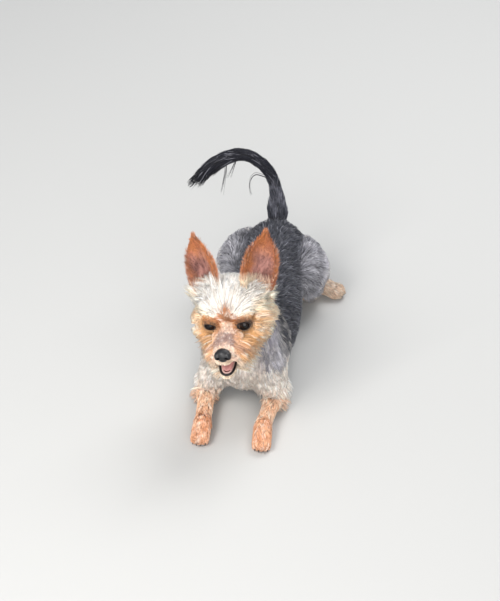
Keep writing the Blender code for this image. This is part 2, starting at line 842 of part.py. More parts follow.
def make_locks(tree, spots, lie, size, rng, cutters):
    """A lock at each spot, cut clear of the neighbours, without those that they swallow."""
    made = []
    for spot, normal in spots:
        length, width, rise, hang = size(spot, normal)
        vary, broad = rng.uniform(0.85, 1.15), rng.uniform(0.85, 1.15)
        bend = rng.uniform(-0.35, 0.35)
        tuft = lock(tree, spot, lie, length * vary, width * broad, rise * vary, hang, bend)
        for cutter in cutters:
            if tuft.data.polygons and boxes_meet(tuft, cutter):
                cut(tuft, cutter)
        if tuft.data.polygons:
            made.append(tuft)
        else:
            bpy.data.objects.remove(tuft)
    return made


def comb(obj, spots, lie, size, seed, neighbours):
    """Joins a lock at each spot to obj, varied anew until the joined surface is sound."""
    core = obj.data
    tree = BVHTree.FromPolygons([v.co for v in core.vertices], [p.vertices for p in core.polygons])
    cutters = [grown(near) for near in neighbours if boxes_meet(obj, near, room=LONGEST_LOCK)]
    for attempt in range(ATTEMPTS):
        obj.data = core.copy()
        unite(obj, make_locks(tree, spots, lie, size, random.Random(seed + attempt), cutters))
        if is_sound(collapse_short_edges(obj)):
            break
    for cutter in cutters:
        bpy.data.objects.remove(cutter)
    return finish(obj, core.materials[0].name)


FACE_FOCUS = Vector((0, -0.0240, -0.0020))  # the head's hair grows away from here
CHEST_END_Y = -0.05  # the chest's locks are ahead of this, and the flanks' behind it
HEAD_BACK = HEAD.inverted()


def head_lie(point, _normal):
    local = HEAD_BACK @ point
    away = (local - FACE_FOCUS).normalized()
    away.z -= 0.35 * max(0.0, min(1.0, -local.z / 0.02)) + 0.25 * max(0.0, local.y / 0.03)
    away.x *= 1.25
    return HEAD.to_3x3() @ away


def head_has_locks(point, _normal):
    q = HEAD_BACK @ point
    near_eye = min((q - Vector(eye_place(s))).length for s in SIDES.values())
    near_ear = min((q - Vector(EAR_ROOT[s]) - Vector((0, 0, 0.008))).length for s in SIDES.values())
    stop = abs(q.x) < 0.0075 and -0.006 < q.z < 0.0120 and q.y < 0.004
    muzzle_top = q.y < -0.006 and (q.z > -0.0125 or q.y < -0.0290)
    under = q.z < -0.0235
    return near_eye > 0.0120 and near_ear > 0.0130 and not (stop or muzzle_top or under)


def head_lock_size(point, _normal):
    q = HEAD_BACK @ point
    if q.y < -0.008:
        return LOCK_SIZES["muzzle"]
    return LOCK_SIZES["crown" if q.z > 0.010 else "cheek"]


def chin_has_locks(point, normal):
    q = HEAD_BACK @ point
    return normal.z < -0.2 and q.y > -0.0240


def neck_has_locks(point, _normal):
    return point.z < 0.118


def torso_has_locks(point, normal):
    chest = point.y < -0.060 and normal.y < -0.25
    flank = -0.01 < point.y < 0.085 and 0.016 < point.z < 0.050
    return chest or flank


def arm_has_locks(point, normal):
    return point.z > 0.018 and normal.y > -0.9


def thigh_has_locks(point, normal):
    return normal.z > -0.3 and point.z > 0.02


def tail_has_locks(point, _normal):
    return point.z > 0.096


def down_and_out(out, back):
    """A lie that falls, spreading from the middle line by out and trailing by back."""

    def lie(point, _normal):
        return Vector((out * max(-1.0, min(1.0, point.x / 0.03)), back, -1.0))

    return lie


def torso_lie(point, normal):
    """Straight down on the chest, and down and back on the flanks."""
    return down_and_out(0.3, 0.1 if point.y < CHEST_END_Y else 0.8)(point, normal)


def torso_lock_size(point, _normal):
    return LOCK_SIZES["chest" if point.y < CHEST_END_Y else "flank"]


def tail_lock_size(_point, normal):
    return LOCK_SIZES["tail" if normal.z > -0.2 else "feathering"]


def alike(name):
    """The same size of lock all over."""
    return lambda _point, _normal: LOCK_SIZES[name]


def neck_lie(point, normal):
    nape = max(0.0, min(1.0, normal.y * 1.5))
    sides = Vector((0.35 * max(-1.0, min(1.0, point.x / 0.03)), 0.05, -1.0))
    return sides.lerp(Vector((0.1 * normal.x, 1.0, -0.45)), nape)


def tail_lie(point, normal):
    """Along the tail towards its tip, and down from its underside."""
    rows = np.asarray(TAIL_LINE)[:, :3]
    samples = [catmull(rows, i / 60) for i in range(61)]
    k = min(range(60), key=lambda i: (Vector(samples[i]) - point).length)
    along = (Vector(samples[k + 1]) - Vector(samples[k])).normalized()
    return along + Vector((0, 0, -0.40)) * max(0.0, -normal.z + 0.3)


def coat_regions():
    """Node, number of locks, spacing, where they grow, their lie, their size and a number for the draw."""
    regions = [
        ("head", 42, 0.0090, head_has_locks, head_lie, head_lock_size, 21),
        ("jaw", 4, 0.0070, chin_has_locks, down_and_out(0.3, 0.5), alike("chin"), 2),
        ("neck", 17, 0.0130, neck_has_locks, neck_lie, alike("ruff"), 3),
        ("torso", 18, 0.0140, torso_has_locks, torso_lie, torso_lock_size, 4),
    ]
    arm_lie, thigh_lie = down_and_out(0.2, 0.35), down_and_out(0.35, 0.7)
    for k, side in enumerate(SIDES):
        regions.append(("upper_arm_" + side, 7, 0.0125, arm_has_locks, arm_lie, alike("arm"), 5 + k))
        regions.append(("thigh_" + side, 8, 0.0150, thigh_has_locks, thigh_lie, alike("thigh"), 7 + k))
    for k, (name, count) in enumerate((("tail_root", 7), ("tail_middle", 10), ("tail_plume", 8))):
        regions.append((name, count, 0.0075, tail_has_locks, tail_lie, tail_lock_size, 9 + k))
    return regions


def dress(parts):
    """The long coat: locks on the head, chin, neck, chest, flanks, upper legs and tail."""
    for name, count, spacing, accept, lie, size, number in coat_regions():
        neighbours = [parts[other] for other in parts if other != name]
        spots = scatter(parts[name], count, spacing, accept, SEED + number)
        comb(parts[name], spots, lie, size, SEED + 100 * number, neighbours)


def build():
    build_cores()
    dress({obj.name: obj for obj in PARTS.objects})


clear_scene()
PARTS = collection("yorkshire_terrier")
CUTTERS = collection("cutters")
build()
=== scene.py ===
import math

import bmesh
import bpy
import numpy as np
from mathutils import Matrix, Vector
from mathutils.bvhtree import BVHTree
from mathutils.kdtree import KDTree


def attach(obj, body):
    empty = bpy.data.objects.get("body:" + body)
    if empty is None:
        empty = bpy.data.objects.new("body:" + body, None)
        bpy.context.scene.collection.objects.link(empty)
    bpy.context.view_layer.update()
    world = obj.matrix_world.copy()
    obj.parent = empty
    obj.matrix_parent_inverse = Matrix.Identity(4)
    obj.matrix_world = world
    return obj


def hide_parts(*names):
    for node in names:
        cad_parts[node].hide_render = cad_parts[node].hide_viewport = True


# The looks of a life-size yorkshire terrier lying on its chest, in metres.
# +Z is up, the dog faces -Y and its left is +X.

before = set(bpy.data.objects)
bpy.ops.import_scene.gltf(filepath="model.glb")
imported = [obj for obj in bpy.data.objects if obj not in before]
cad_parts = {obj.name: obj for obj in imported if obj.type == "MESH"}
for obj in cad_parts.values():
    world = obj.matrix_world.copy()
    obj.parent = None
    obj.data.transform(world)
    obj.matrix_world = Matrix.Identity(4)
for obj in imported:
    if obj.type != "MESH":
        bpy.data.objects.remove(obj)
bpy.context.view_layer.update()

# Driving sizes, as in the solids
BODY_LENGTH = 0.252
BACK_HEIGHT = 0.117
CHEST_HALF_WIDTH = 0.0445
BREAST_Y = -0.105
EYE_GAP = 0.035
EYE_RADIUS = 0.0072
EAR_HEIGHT = 0.069
EAR_HALF_WIDTH = 0.0175
NOSE_WIDTH = 0.0172
FOREARM_RADIUS = 0.0082
PAW_HALF_WIDTH = 0.0102
THIGH_RADIUS = 0.0285
TAIL_RADIUS = 0.0056
PELVIS_SHIFT = -0.0055
SIDES = {"left": 1.0, "right": -1.0}

# Depth of the coat between the skin and the solids' faces
COAT_DEPTH = {
    "torso": 0.0038, "neck": 0.001, "head": 0.0006, "jaw": 0.0006, "arm": 0.0012, "forearm": 0.0022,
    "paw": 0.001, "toe": 0.0004, "thigh": 0.0042, "shank": 0.0022, "tail": 0.0016,
}
SKIN_VOXEL = 0.0013
SKIN_PAINTED_SHADE = 0.82  # painted shade: the skin under the coat, darkened to this share of the coat's colour as if in the coat's shadow
# the same painted shade on the skin of the ears, a little lighter
EAR_SKIN_PAINTED_SHADE = 0.9
FLOOR_CLEARANCE = 0.0004
MOUTH_SHIFT = -0.0018  # the open mouth hangs a little to the dog's right

# Eyes, each opening of the lids with half its height and half its width
EYE_DEPTH = 0.0012
EYE_CLEARANCE = 0.0001
LID_HEIGHT = {1.0: 0.0044, -1.0: 0.0031}
LID_WIDTH = {1.0: 0.0064, -1.0: 0.0054}
LID_TILT = 12  # degrees
LID_FRONT = 0.0035  # skin up to this far behind an eye's centre can belong to its lids
LID_EDGE = 1.12  # the dark rim, as a share of the opening
LID_RIM_HEIGHT = 0.0005
LID_RIM_WIDTH = 0.0008

# Ears, with their angles in degrees
EAR_OUTLINE = (0.72, 0.9, 1.0, 1.0, 0.92, 0.76, 0.5, 0.12)
EAR_ROOT = {1.0: (0.0285, 0.0195, 0.0225), -1.0: (-0.0215, 0.019, 0.0205)}
EAR_LEAN = {1.0: 17, -1.0: 12}
EAR_YAW = 20
EAR_BACK = 8
EAR_THICKNESS = 0.0015


def turned_by(degrees, axis):
    return Matrix.Rotation(math.radians(degrees), 4, axis)


EYE_LINE = Vector((-0.009, -0.1095, 0.1335))
HEAD = Matrix.Translation(EYE_LINE) @ turned_by(2.5, "Z") @ turned_by(-8, "X") @ turned_by(-8, "Y")
MOUTH_FRAME = HEAD @ Matrix.Translation((MOUTH_SHIFT, 0, 0))
HEAD_TURN = np.array(HEAD.to_3x3())
HEAD_PLACE = np.array(EYE_LINE)


def srgb(red, green, blue):
    """A linear colour from the 0 to 255 values seen in the photo."""
    share = np.array((red, green, blue)) / 255
    return np.where(share <= 0.04045, share / 12.92, ((share + 0.055) / 1.055) ** 2.4)


STEEL = srgb(66, 68, 77)
STEEL_LIGHT = srgb(134, 135, 147)
SILVER = srgb(216, 214, 221)
GRIZZLE = srgb(170, 170, 180)
# blue-grey hair, also used as painted shadow below the head on the neck and the tops of the arms
BLUE_GREY_AND_SHADOW = srgb(106, 107, 128)
TAIL_BLACK = srgb(36, 37, 46)
CREAM = srgb(252, 238, 226)
WHITE = srgb(250, 243, 235)
LIGHT_TAN = srgb(250, 229, 203)
GOLD = srgb(230, 180, 126)
ORANGE = srgb(196, 124, 74)
BROWN = srgb(116, 72, 46)
EYE_RING = srgb(30, 20, 17)
IRIS = srgb(28, 17, 13)
EYE_BLACK = srgb(10, 8, 8)
EYE_WHITE = srgb(120, 96, 84)
PEACH = srgb(240, 190, 152)
PALE_PINK = srgb(242, 208, 186)
MAUVE = srgb(142, 110, 106)
RUST = srgb(178, 110, 74)
EAR_PINK = srgb(176, 126, 116)
# painted shade for the hollow of the ear's cup
EAR_CUP_PAINTED_SHADE = srgb(104, 66, 60)
TAN = srgb(236, 189, 155)
PAW_TAN = srgb(222, 161, 123)
LEG_CREAM = srgb(226, 202, 180)
# the flesh inside the open mouth, darkened with painted shade
MOUTH_IN_SHADE = srgb(84, 34, 34)


# Small tools for numbers

def ramp(x, low, high):
    """A smooth share that climbs from 0 at low to 1 at high."""
    t = np.clip((x - low) / (high - low), 0, 1)
    return t * t * (3 - 2 * t)


def fall(x, low, high):
    return 1 - ramp(x, low, high)


def mix(first, second, share):
    """Blends colours or vectors, with a share for each row."""
    share = np.asarray(share)[..., None]
    return first * (1 - share) + second * share


def unit(rows):
    return rows / np.maximum(np.linalg.norm(rows, axis=-1, keepdims=True), 1e-12)


def vectors(x, y, z):
    """One vector a row, from rows of numbers or a number for them all."""
    return np.stack(np.broadcast_arrays(x, y, z), 1)


def ripple(points, wavelength, seed):
    """Smooth noise over space from about -1 to 1, made of a few crossed waves."""
    rng = np.random.default_rng(seed)
    total = np.zeros(len(points))
    for _ in range(6):
        direction = unit(rng.normal(size=3)) * (2 * np.pi / wavelength * rng.uniform(0.6, 1.5))
        total += np.sin(points @ direction + rng.uniform(0, 2 * np.pi))
    return np.clip(total / 3, -1, 1)


def catmull(rows, t):
    """Row t of a smooth curve through equally spaced rows, t running from 0 to 1."""
    rows = np.asarray(rows, float)
    last = len(rows) - 1
    place = min(max(t, 0.0), 1.0) * last
    i = min(int(place), last - 1)
    u = place - i
    a, b, c, d = rows[max(i - 1, 0)], rows[i], rows[i + 1], rows[min(i + 2, last)]
    return 0.5 * (
        2 * b + (c - a) * u + (2 * a - 5 * b + 4 * c - d) * u**2 + (3 * b - 3 * c + d - a) * u**3
    )


def in_frame(points, matrix):
    """Points as they are seen in a frame of their own."""
    back = np.array(matrix.inverted())
    return points @ back[:3, :3].T + back[:3, 3]


def to_head(points):
    """Points in the head's own frame: x to its left, -y ahead, z up, from midway between the eyes."""
    return (points - HEAD_PLACE) @ HEAD_TURN


def from_head(rows):
    return rows @ HEAD_TURN.T


# Small tools for meshes

def object_of(bm, name):
    bmesh.ops.recalc_face_normals(bm, faces=bm.faces)
    mesh = bpy.data.meshes.new(name)
    bm.to_mesh(mesh)
    bm.free()
    return linked(name, mesh)


def linked(name, data):
    obj = bpy.data.objects.new(name, data)
    bpy.context.scene.collection.objects.link(obj)
    return obj


def bridge(bm, first, second):
    """Faces between two closed loops of corners."""
    for k in range(len(first)):
        n = (k + 1) % len(first)
        bm.faces.new((first[k], first[n], second[n], second[k]))


def loft(stations, rings, sides, up=(0, 0, 1), inset=0.0, place=None, name="form"):
    """A closed tube through stations of (x, y, z, half width, height above the line, depth below it)."""
    rows = [catmull(stations, i / (rings - 1)) for i in range(rings)]
    tangents = np.gradient(np.array([station[:3] for station in rows]), axis=0)
    bm = bmesh.new()
    loops = []
    for station, tangent in zip(rows, tangents):
        ahead = Vector(tangent).normalized()
        side = ahead.cross(Vector(up)).normalized()
        top = side.cross(ahead)
        width, height, depth = (max(size - inset, 0.25 * size) for size in station[3:])
        loop = []
        for k in range(sides):
            angle = 2 * math.pi * (k + 0.5) / sides
            rise = height if math.sin(angle) > 0 else depth
            offset = side * (width * math.cos(angle)) + top * (rise * math.sin(angle))
            loop.append(bm.verts.new(Vector(station[:3]) + offset))
        loops.append(loop)
    for first, second in zip(loops, loops[1:]):
        bridge(bm, first, second)
    for loop, station in ((loops[0], rows[0]), (loops[-1], rows[-1])):
        pole = bm.verts.new(station[:3])
        for k in range(sides):
            bm.faces.new((loop[k], loop[(k + 1) % sides], pole))
    if place is not None:
        bmesh.ops.transform(bm, matrix=place, verts=bm.verts)
    return object_of(bm, name)


def blob(centre, radii, place=Matrix.Identity(4), inset=0.0):
    """An ellipsoid with its centre and radii in metres."""
    bm = bmesh.new()
    shape = Matrix.Diagonal((*(r - inset for r in radii), 1))
    matrix = place @ Matrix.Translation(centre) @ shape
    bmesh.ops.create_icosphere(bm, subdivisions=4, radius=1.0, matrix=matrix)
    return object_of(bm, "blob")


def tube(points, radii, sides=10, place=None, name="form"):
    """A closed round tube through points, with a radius for each."""
    stations = [(*point, radius, radius, radius) for point, radius in zip(points, radii)]
    return loft(stations, 6 * len(points), sides, place=place, name=name)


def modify(obj, kind, **settings):
    """Changes the mesh by one modifier, and applies it."""
    modifier = obj.modifiers.new(kind.lower(), kind)
    for key, value in settings.items():
        setattr(modifier, key, value)
    bpy.context.view_layer.update()
    graph = bpy.context.evaluated_depsgraph_get()
    made = bpy.data.meshes.new_from_object(obj.evaluated_get(graph))
    obj.modifiers.clear()
    obj.data = made
    return obj


def join(name, pieces):
    """One object with all the pieces' faces, which takes their place."""
    bm = bmesh.new()
    for piece in pieces:
        bm.from_mesh(piece.data)
        bpy.data.objects.remove(piece)
    return object_of(bm, name)


def melt(name, pieces, voxel, smoothing):
    """Overlapping closed pieces as one smooth closed form."""
    obj = modify(join(name, pieces), "REMESH", mode="VOXEL", voxel_size=voxel)
    return modify(obj, "SMOOTH", factor=0.5, iterations=smoothing)


def boolean(obj, other, operation="DIFFERENCE"):
    """Cuts or joins another closed object, and removes it."""
    modify(obj, "BOOLEAN", operation=operation, object=other, solver="MANIFOLD")
    bpy.data.objects.remove(other)


# The forms under the coat

TORSO_PROFILE = (
    # share of the body's length, half width, top and bottom, as shares of the driving sizes
    (0.0, 0.18, 0.68, 0.52),
    (0.035, 0.5, 0.8, 0.42),
    (0.105, 0.76, 0.91, 0.28),
    (0.215, 0.9, 0.98, 0.12),
    (0.33, 0.98, 1.0, 0.01),
    (0.445, 1.02, 0.975, -0.025),
    (0.56, 0.97, 0.935, -0.01),
    (0.67, 0.9, 0.91, 0.01),
    (0.78, 0.86, 0.92, 0.03),
    (0.875, 0.84, 0.92, 0.08),
    (0.945, 0.72, 0.87, 0.17),
    (0.985, 0.44, 0.77, 0.31),
    (1.0, 0.12, 0.62, 0.46),
)
NECK_STATIONS = (
    (0.001, -0.056, 0.07, 0.036, 0.036, 0.04),
    (-0.002, -0.07, 0.096, 0.034, 0.034, 0.036),
    (-0.006, -0.079, 0.116, 0.031, 0.03, 0.031),
    (-0.008, -0.084, 0.13, 0.026, 0.024, 0.025),
)
MUZZLE_STATIONS = (
    (0, 0.01, -0.01, 0.019, 0.013, 0.013),
    (0, -0.006, -0.011, 0.0158, 0.01, 0.011),
    (0, -0.02, -0.013, 0.0132, 0.0085, 0.0095),
    (0, -0.031, -0.0145, 0.0112, 0.0075, 0.008),
    (0, -0.036, -0.015, 0.007, 0.005, 0.005),
)
JAW_STATIONS = (
    (0, 0.02, -0.0236, 0.017, 0.006, 0.009),
    (0, 0.006, -0.0312, 0.0138, 0.004, 0.0066),
    (0, -0.008, -0.038, 0.0104, 0.0035, 0.005),
    (0, -0.0196, -0.0438, 0.0082, 0.003, 0.004),
    (0, -0.0256, -0.0462, 0.0054, 0.0022, 0.0028),
)
FORELEG = {
    # elbow, wrist and toe tip, as distances from the middle line, along and up
    1.0: ((0.034, -0.065, 0.018), (0.0302, -0.118, 0.012), (0.0338, -0.1445, 0.0078)),
    -1.0: ((0.0395, -0.07, 0.018), (0.033, -0.124, 0.012), (0.0312, -0.148, 0.0078)),
}
HINDLEG = {
    "hip": (0.0245, 0.113, 0.069),
    "thigh": (0.039, 0.106, 0.051),
    "knee": (0.044, 0.0945, 0.0385),
    "hock": (0.04, 0.127, 0.019),
    "toe": (0.0715, 0.129, 0.009),
}
TOE_TUCK = {1.0: Vector((0, 0, 0)), -1.0: Vector((0.0075, -0.004, 0))}
TAIL_LINE = (
    # x, y, z and radius as a share of TAIL_RADIUS
    (-0.0045, 0.124, 0.085, 2.3),
    (-0.006, 0.133, 0.104, 1.5),
    (-0.009, 0.139, 0.13, 1.0),
    (-0.018, 0.14, 0.154, 0.95),
    (-0.036, 0.1395, 0.17, 0.92),
    (-0.054, 0.134, 0.1745, 0.88),
    (-0.074, 0.126, 0.169, 0.78),
    (-0.09, 0.119, 0.155, 0.5),
    (-0.102, 0.111, 0.14, 0.12),
)


def row(point, width, top, bottom=None):
    return (*point, width, top, top if bottom is None else bottom)


def side_point(s, x, y, z, shift=0.0):
    return Vector((s * x + shift, y, z))


def hind_point(s, name):
    point = side_point(s, *HINDLEG[name], shift=PELVIS_SHIFT)
    return point + TOE_TUCK[s] if name == "toe" else point


def torso_forms():
    """The trunk and the swell of the rump on each side."""
    stations = []
    for share, width, top, bottom in TORSO_PROFILE:
        half = (top - bottom) / 2 * BACK_HEIGHT
        shift = PELVIS_SHIFT * max(0.0, (share - 0.45) / 0.55) ** 1.3
        place = (shift, BREAST_Y + share * BODY_LENGTH, (top + bottom) / 2 * BACK_HEIGHT)
        stations.append((*place, width * CHEST_HALF_WIDTH, half, half))
    forms = [loft(stations, 64, 48, inset=COAT_DEPTH["torso"])]
    for s in SIDES.values():
        forms.append(blob((s * 0.033 + PELVIS_SHIFT, 0.1, 0.06), (0.023, 0.036, 0.0265)))
    return forms


def eye_place(s):
    return Vector((s * EYE_GAP / 2, EYE_DEPTH, 0.0))


def opening_frame(s):
    """The frame of the opening between the lids, its outer corner a little higher."""
    return HEAD @ Matrix.Translation(eye_place(s)) @ turned_by(-s * LID_TILT, "Y")


def lid_reach(points):
    """How far points in front lie from the nearer opening of the lids, 1 being its edge."""
    reach = np.full(len(points), 9.0)
    for s in SIDES.values():
        e = in_frame(points, opening_frame(s))
        flat = np.hypot(e[:, 0] / LID_WIDTH[s], e[:, 2] / LID_HEIGHT[s])
        reach = np.where(e[:, 1] < LID_FRONT, np.minimum(reach, flat), reach)
    return reach


def head_forms():
    """Skull, forehead and muzzle, a lid, brow, cheek and lip pad on each side, and the upper lip."""
    inset = COAT_DEPTH["head"]
    lid = EYE_RADIUS + 0.0016
    forms = [
        blob((0, 0.027, 0.008), (0.0305, 0.031, 0.026), HEAD, inset),
        blob((0, 0.0105, 0.0115), (0.024, 0.016, 0.015), HEAD, inset),
        loft(MUZZLE_STATIONS, 24, 32, inset=inset, place=HEAD),
    ]
    for s in SIDES.values():
        pad_height = -0.0198 - 0.0007 * (1 + s)
        forms += [
            blob(eye_place(s), (lid, lid, lid * 0.92), HEAD),
            blob((s * 0.016, 0.005, 0.0072), (0.0105, 0.008, 0.006), HEAD, inset),
            blob((s * 0.0215, 0.021, -0.007), (0.0165, 0.0225, 0.0185), HEAD, inset),
            blob((s * 0.0085, -0.02, pad_height), (0.0078, 0.013, 0.0066), HEAD, inset),
        ]
    return [*forms, blob((0, -0.029, -0.0245), (0.0088, 0.0066, 0.0052), MOUTH_FRAME, inset)]


def arm_form(s):
    elbow = FORELEG[s][0]
    stations = [
        row(side_point(s, 0.024, -0.04, 0.086), 0.013, 0.01),
        row(side_point(s, 0.0265, -0.057, 0.072), 0.02, 0.016),
        row(side_point(s, 0.0275, -0.072, 0.056), 0.021, 0.015),
        row(side_point(s, 0.5 * (0.0275 + elbow[0]), -0.074, 0.037), 0.0175, 0.013),
        row(side_point(s, *elbow), 0.0125, 0.011),
    ]
    return loft(stations, 24, 32, up=(s * 0.9, -0.3, 0.2), inset=COAT_DEPTH["arm"])


def forearm_form(s):
    elbow, wrist, _ = FORELEG[s]
    start, end = side_point(s, *elbow), side_point(s, *wrist)
    r = FOREARM_RADIUS
    stations = [
        row(start + Vector((0, 0.006, -0.004)), r * 0.9, r * 0.9, r * 1.4),
        row(start + Vector((0, -0.012, -0.003)), r * 1.35, r * 1.25, r * 1.5),
        row(start.lerp(end, 0.5) - Vector((0, 0, 0.0005)), r * 1.1, r, r * 1.4),
        row(end, r * 1.05, r * 0.95, r * 1.3),
    ]
    return loft(stations, 20, 24, inset=COAT_DEPTH["forearm"])


def heading_between(start, end):
    return Vector((end.x - start.x, end.y - start.y, 0)).normalized()


def drop(distance):
    return Vector((0, 0, -distance))


def toe_ends(tip, heading, width):
    """Where the four toes of a paw end."""
    across = Vector((heading.y, -heading.x, 0))
    ends = []
    for k in range(4):
        place = (k - 1.5) / 1.5
        reach = 0.01 - 0.003 * max(0, abs(place) - 0.4)
        ends.append(tip + across * (place * width * 0.64) + heading * reach)
    return ends


def paw_forms(stations, ends, heading, width):
    """The back of the paw and its toes, each with a knuckle and a rounded front."""
    forms = [loft(stations, 16, 28, inset=COAT_DEPTH["paw"])]
    half = width * 0.3
    for end in ends:
        toe = [
            row(end - heading * 0.013, half * 0.8, 0.0045),
            row(end - heading * 0.008, half * 0.95, 0.0064),
            row(end - heading * 0.0035, half, 0.0058),
            row(end - heading * 0.0006 + drop(0.0012), half * 0.7, 0.0036),
        ]
        forms.append(loft(toe, 12, 16, inset=COAT_DEPTH["toe"]))
    return forms


def forepaw_plan(s):
    """Stations of the forepaw, the ends of its toes, its heading and half width."""
    start, end = (side_point(s, *place) for place in FORELEG[s][1:])
    heading = heading_between(start, end)
    w = PAW_HALF_WIDTH
    stations = [
        row(start, w * 0.8, 0.0095, 0.012),
        row(start + heading * 0.01 + drop(0.0015), w * 0.95, 0.009, 0.011),
        row(end - heading * 0.01 - drop(0.0012), w, 0.0078, 0.01),
        row(end - heading * 0.003, w * 0.7, 0.005, 0.007),
    ]
    return stations, toe_ends(end - heading * 0.005 + drop(0.0016), heading, w), heading, w


def hindpaw_plan(s):
    """The same for the hind paw."""
    hock, tip = hind_point(s, "hock"), hind_point(s, "toe")
    heading = heading_between(hock, tip)
    w = PAW_HALF_WIDTH * 0.92
    stations = [
        row(hock - heading * 0.01, w * 0.7, 0.008, 0.011),
        row(hock + heading * 0.002 + drop(0.002), w * 0.92, 0.0085, 0.012),
        row(hock.lerp(tip, 0.55), w * 0.92, 0.008, 0.011),
        row(tip - heading * 0.006, w * 0.95, 0.007, 0.0095),
        row(tip - heading * 0.001, w * 0.65, 0.0048, 0.007),
    ]
    return stations, toe_ends(tip - heading * 0.004 + drop(0.0018), heading, w), heading, w


def thigh_form(s):
    r = THIGH_RADIUS
    hip, thigh, knee = (hind_point(s, name) for name in ("hip", "thigh", "knee"))
    stations = [
        row(hip + Vector((-s * 0.006, 0.003, 0.013)), r * 0.55, r * 0.45),
        row(hip, r * 1.0, r * 0.9),
        row(thigh, r * 0.98, r * 0.92),
        row(knee, r * 0.66, r * 0.62),
        row(knee + Vector((s * 0.004, -0.009, -0.006)), r * 0.3, r * 0.3),
    ]
    return loft(stations, 28, 36, up=(s, 0, 0.6), inset=COAT_DEPTH["thigh"])


def shank_form(s):
    knee, hock = hind_point(s, "knee"), hind_point(s, "hock")
    low = Vector((0, 0, 0.008))
    stations = [
        row(knee - low * 1.4, 0.012, 0.011),
        row(knee.lerp(hock, 0.45) - low * 0.7, 0.0145, 0.012),
        row(knee.lerp(hock, 0.8), 0.0125, 0.011),
        row(hock, 0.0105, 0.01),
    ]
    return loft(stations, 18, 24, inset=COAT_DEPTH["shank"])


def ear_frame(s):
    """The ear's own frame: x across it, y behind it, z from its root to its tip."""
    turn = turned_by(s * EAR_YAW, "Z") @ turned_by(s * EAR_LEAN[s], "Y")
    return HEAD @ Matrix.Translation(EAR_ROOT[s]) @ turn @ turned_by(-EAR_BACK, "X")


def ear_half_width(t):
    return float(catmull([[w] for w in EAR_OUTLINE], t)[0]) * EAR_HALF_WIDTH


def ear_cup(t):
    """How deep the ear's cup is at a share of its height."""
    return 0.0105 * (1 - t) ** 0.8 + 0.0008


def ear_shell(s):
    """The thin cupped ear, with two ridges that fade towards its tip."""
    rows, columns = 34, 25
    bm = bmesh.new()
    grid = []
    for i in range(rows):
        t = i / (rows - 1)
        half = ear_half_width(t) * (0.92 - 0.02 * t)
        line = []
        for k in range(columns):
            across = 2 * k / (columns - 1) - 1
            ridge = math.exp(-(((across - 0.25 * s) / 0.16) ** 2)) * (1 - t) ** 1.5
            ridge += 0.7 * math.exp(-(((across + 0.35 * s) / 0.14) ** 2)) * (1 - t) ** 2
            point = Vector((half * across, ear_cup(t) * (1 - across**2), t * EAR_HEIGHT * 0.945))
            point.y -= 0.0022 * ridge
            line.append(bm.verts.new(point))
        grid.append(line)
    for low, high in zip(grid, grid[1:]):
        for k in range(columns - 1):
            bm.faces.new((low[k], low[k + 1], high[k + 1], high[k]))
    bmesh.ops.transform(bm, matrix=ear_frame(s), verts=bm.verts)
    return modify(object_of(bm, "ear"), "SOLIDIFY", thickness=EAR_THICKNESS, offset=0, use_even_offset=True)


def cut_at_floor(obj):
    """Takes off what lies below the floor, so that the belly and feet rest flat on it."""
    bm = bmesh.new()
    depth = 0.05
    place = Matrix.Translation((0, 0, FLOOR_CLEARANCE - depth / 2)) @ Matrix.Diagonal((1, 1, depth, 1))
    bmesh.ops.create_cube(bm, size=1.0, matrix=place)
    boolean(obj, object_of(bm, "floor_cut"))


def build_skin():
    """One closed skin, and the forms it was melted from, with the name that each face belongs to."""
    tail = [(x, y, z, *(r * TAIL_RADIUS,) * 3) for x, y, z, r in TAIL_LINE]
    groups = {
        "torso": torso_forms(),
        "neck": [loft(NECK_STATIONS, 24, 40, up=(0, 1, 0.4), inset=COAT_DEPTH["neck"])],
        "head": head_forms(),
        "jaw": [loft(JAW_STATIONS, 24, 32, inset=COAT_DEPTH["jaw"], place=MOUTH_FRAME)],
        "tail": [loft(tail, 70, 18, up=(0, 1, 0), inset=COAT_DEPTH["tail"])],
    }
    for side, s in SIDES.items():
        groups["arm_" + side] = [arm_form(s)]
        groups["forearm_" + side] = [forearm_form(s)]
        groups["forepaw_" + side] = paw_forms(*forepaw_plan(s))
        groups["thigh_" + side] = [thigh_form(s)]
        groups["shank_" + side] = [shank_form(s)]
        groups["hindpaw_" + side] = paw_forms(*hindpaw_plan(s))
    ears = {"ear_" + side: [ear_shell(s)] for side, s in SIDES.items()}
    corners, faces, names = [], [], []
    for name, forms in (groups | ears).items():
        for form in forms:
            start = len(corners)
            corners += [v.co.copy() for v in form.data.vertices]
            faces += [[start + i for i in p.vertices] for p in form.data.polygons]
            names += [name] * len(form.data.polygons)
    tree = BVHTree.FromPolygons(corners, faces)
    skin = melt("skin", [form for forms in groups.values() for form in forms], SKIN_VOXEL, 6)
    cut_at_floor(skin)
    for s in SIDES.values():
        opening = (LID_WIDTH[s] + EYE_CLEARANCE, 0.0084, LID_HEIGHT[s] + 2 * EYE_CLEARANCE)
        boolean(skin, blob((0, -0.009, 0), opening, opening_frame(s)))
        boolean(skin, blob(eye_place(s), (EYE_RADIUS + EYE_CLEARANCE,) * 3, HEAD))
    for ear in ears.values():
        boolean(skin, ear[0], "UNION")
    modify(skin, "TRIANGULATE", quad_method="BEAUTY")
    return skin, tree, names


def read_mesh(mesh):
    """Corners, triangles, and the triangles' normals and areas."""
    corners = np.empty(len(mesh.vertices) * 3)
    mesh.vertices.foreach_get("co", corners)
    corners = corners.reshape(-1, 3)
    triangles = np.empty(len(mesh.polygons) * 3, int)
    mesh.polygons.foreach_get("vertices", triangles)
    triangles = triangles.reshape(-1, 3)
    a, b, c = (corners[triangles[:, k]] for k in range(3))
    normal = np.cross(b - a, c - a)
    size = np.linalg.norm(normal, axis=1)
    return corners, triangles, normal / np.maximum(size, 1e-18)[:, None], size / 2


def form_of(points):
    """The name of the form that lies nearest to each point."""
    return np.array([FORM_NAMES[FORM_TREE.find_nearest(point)[2]] for point in points])


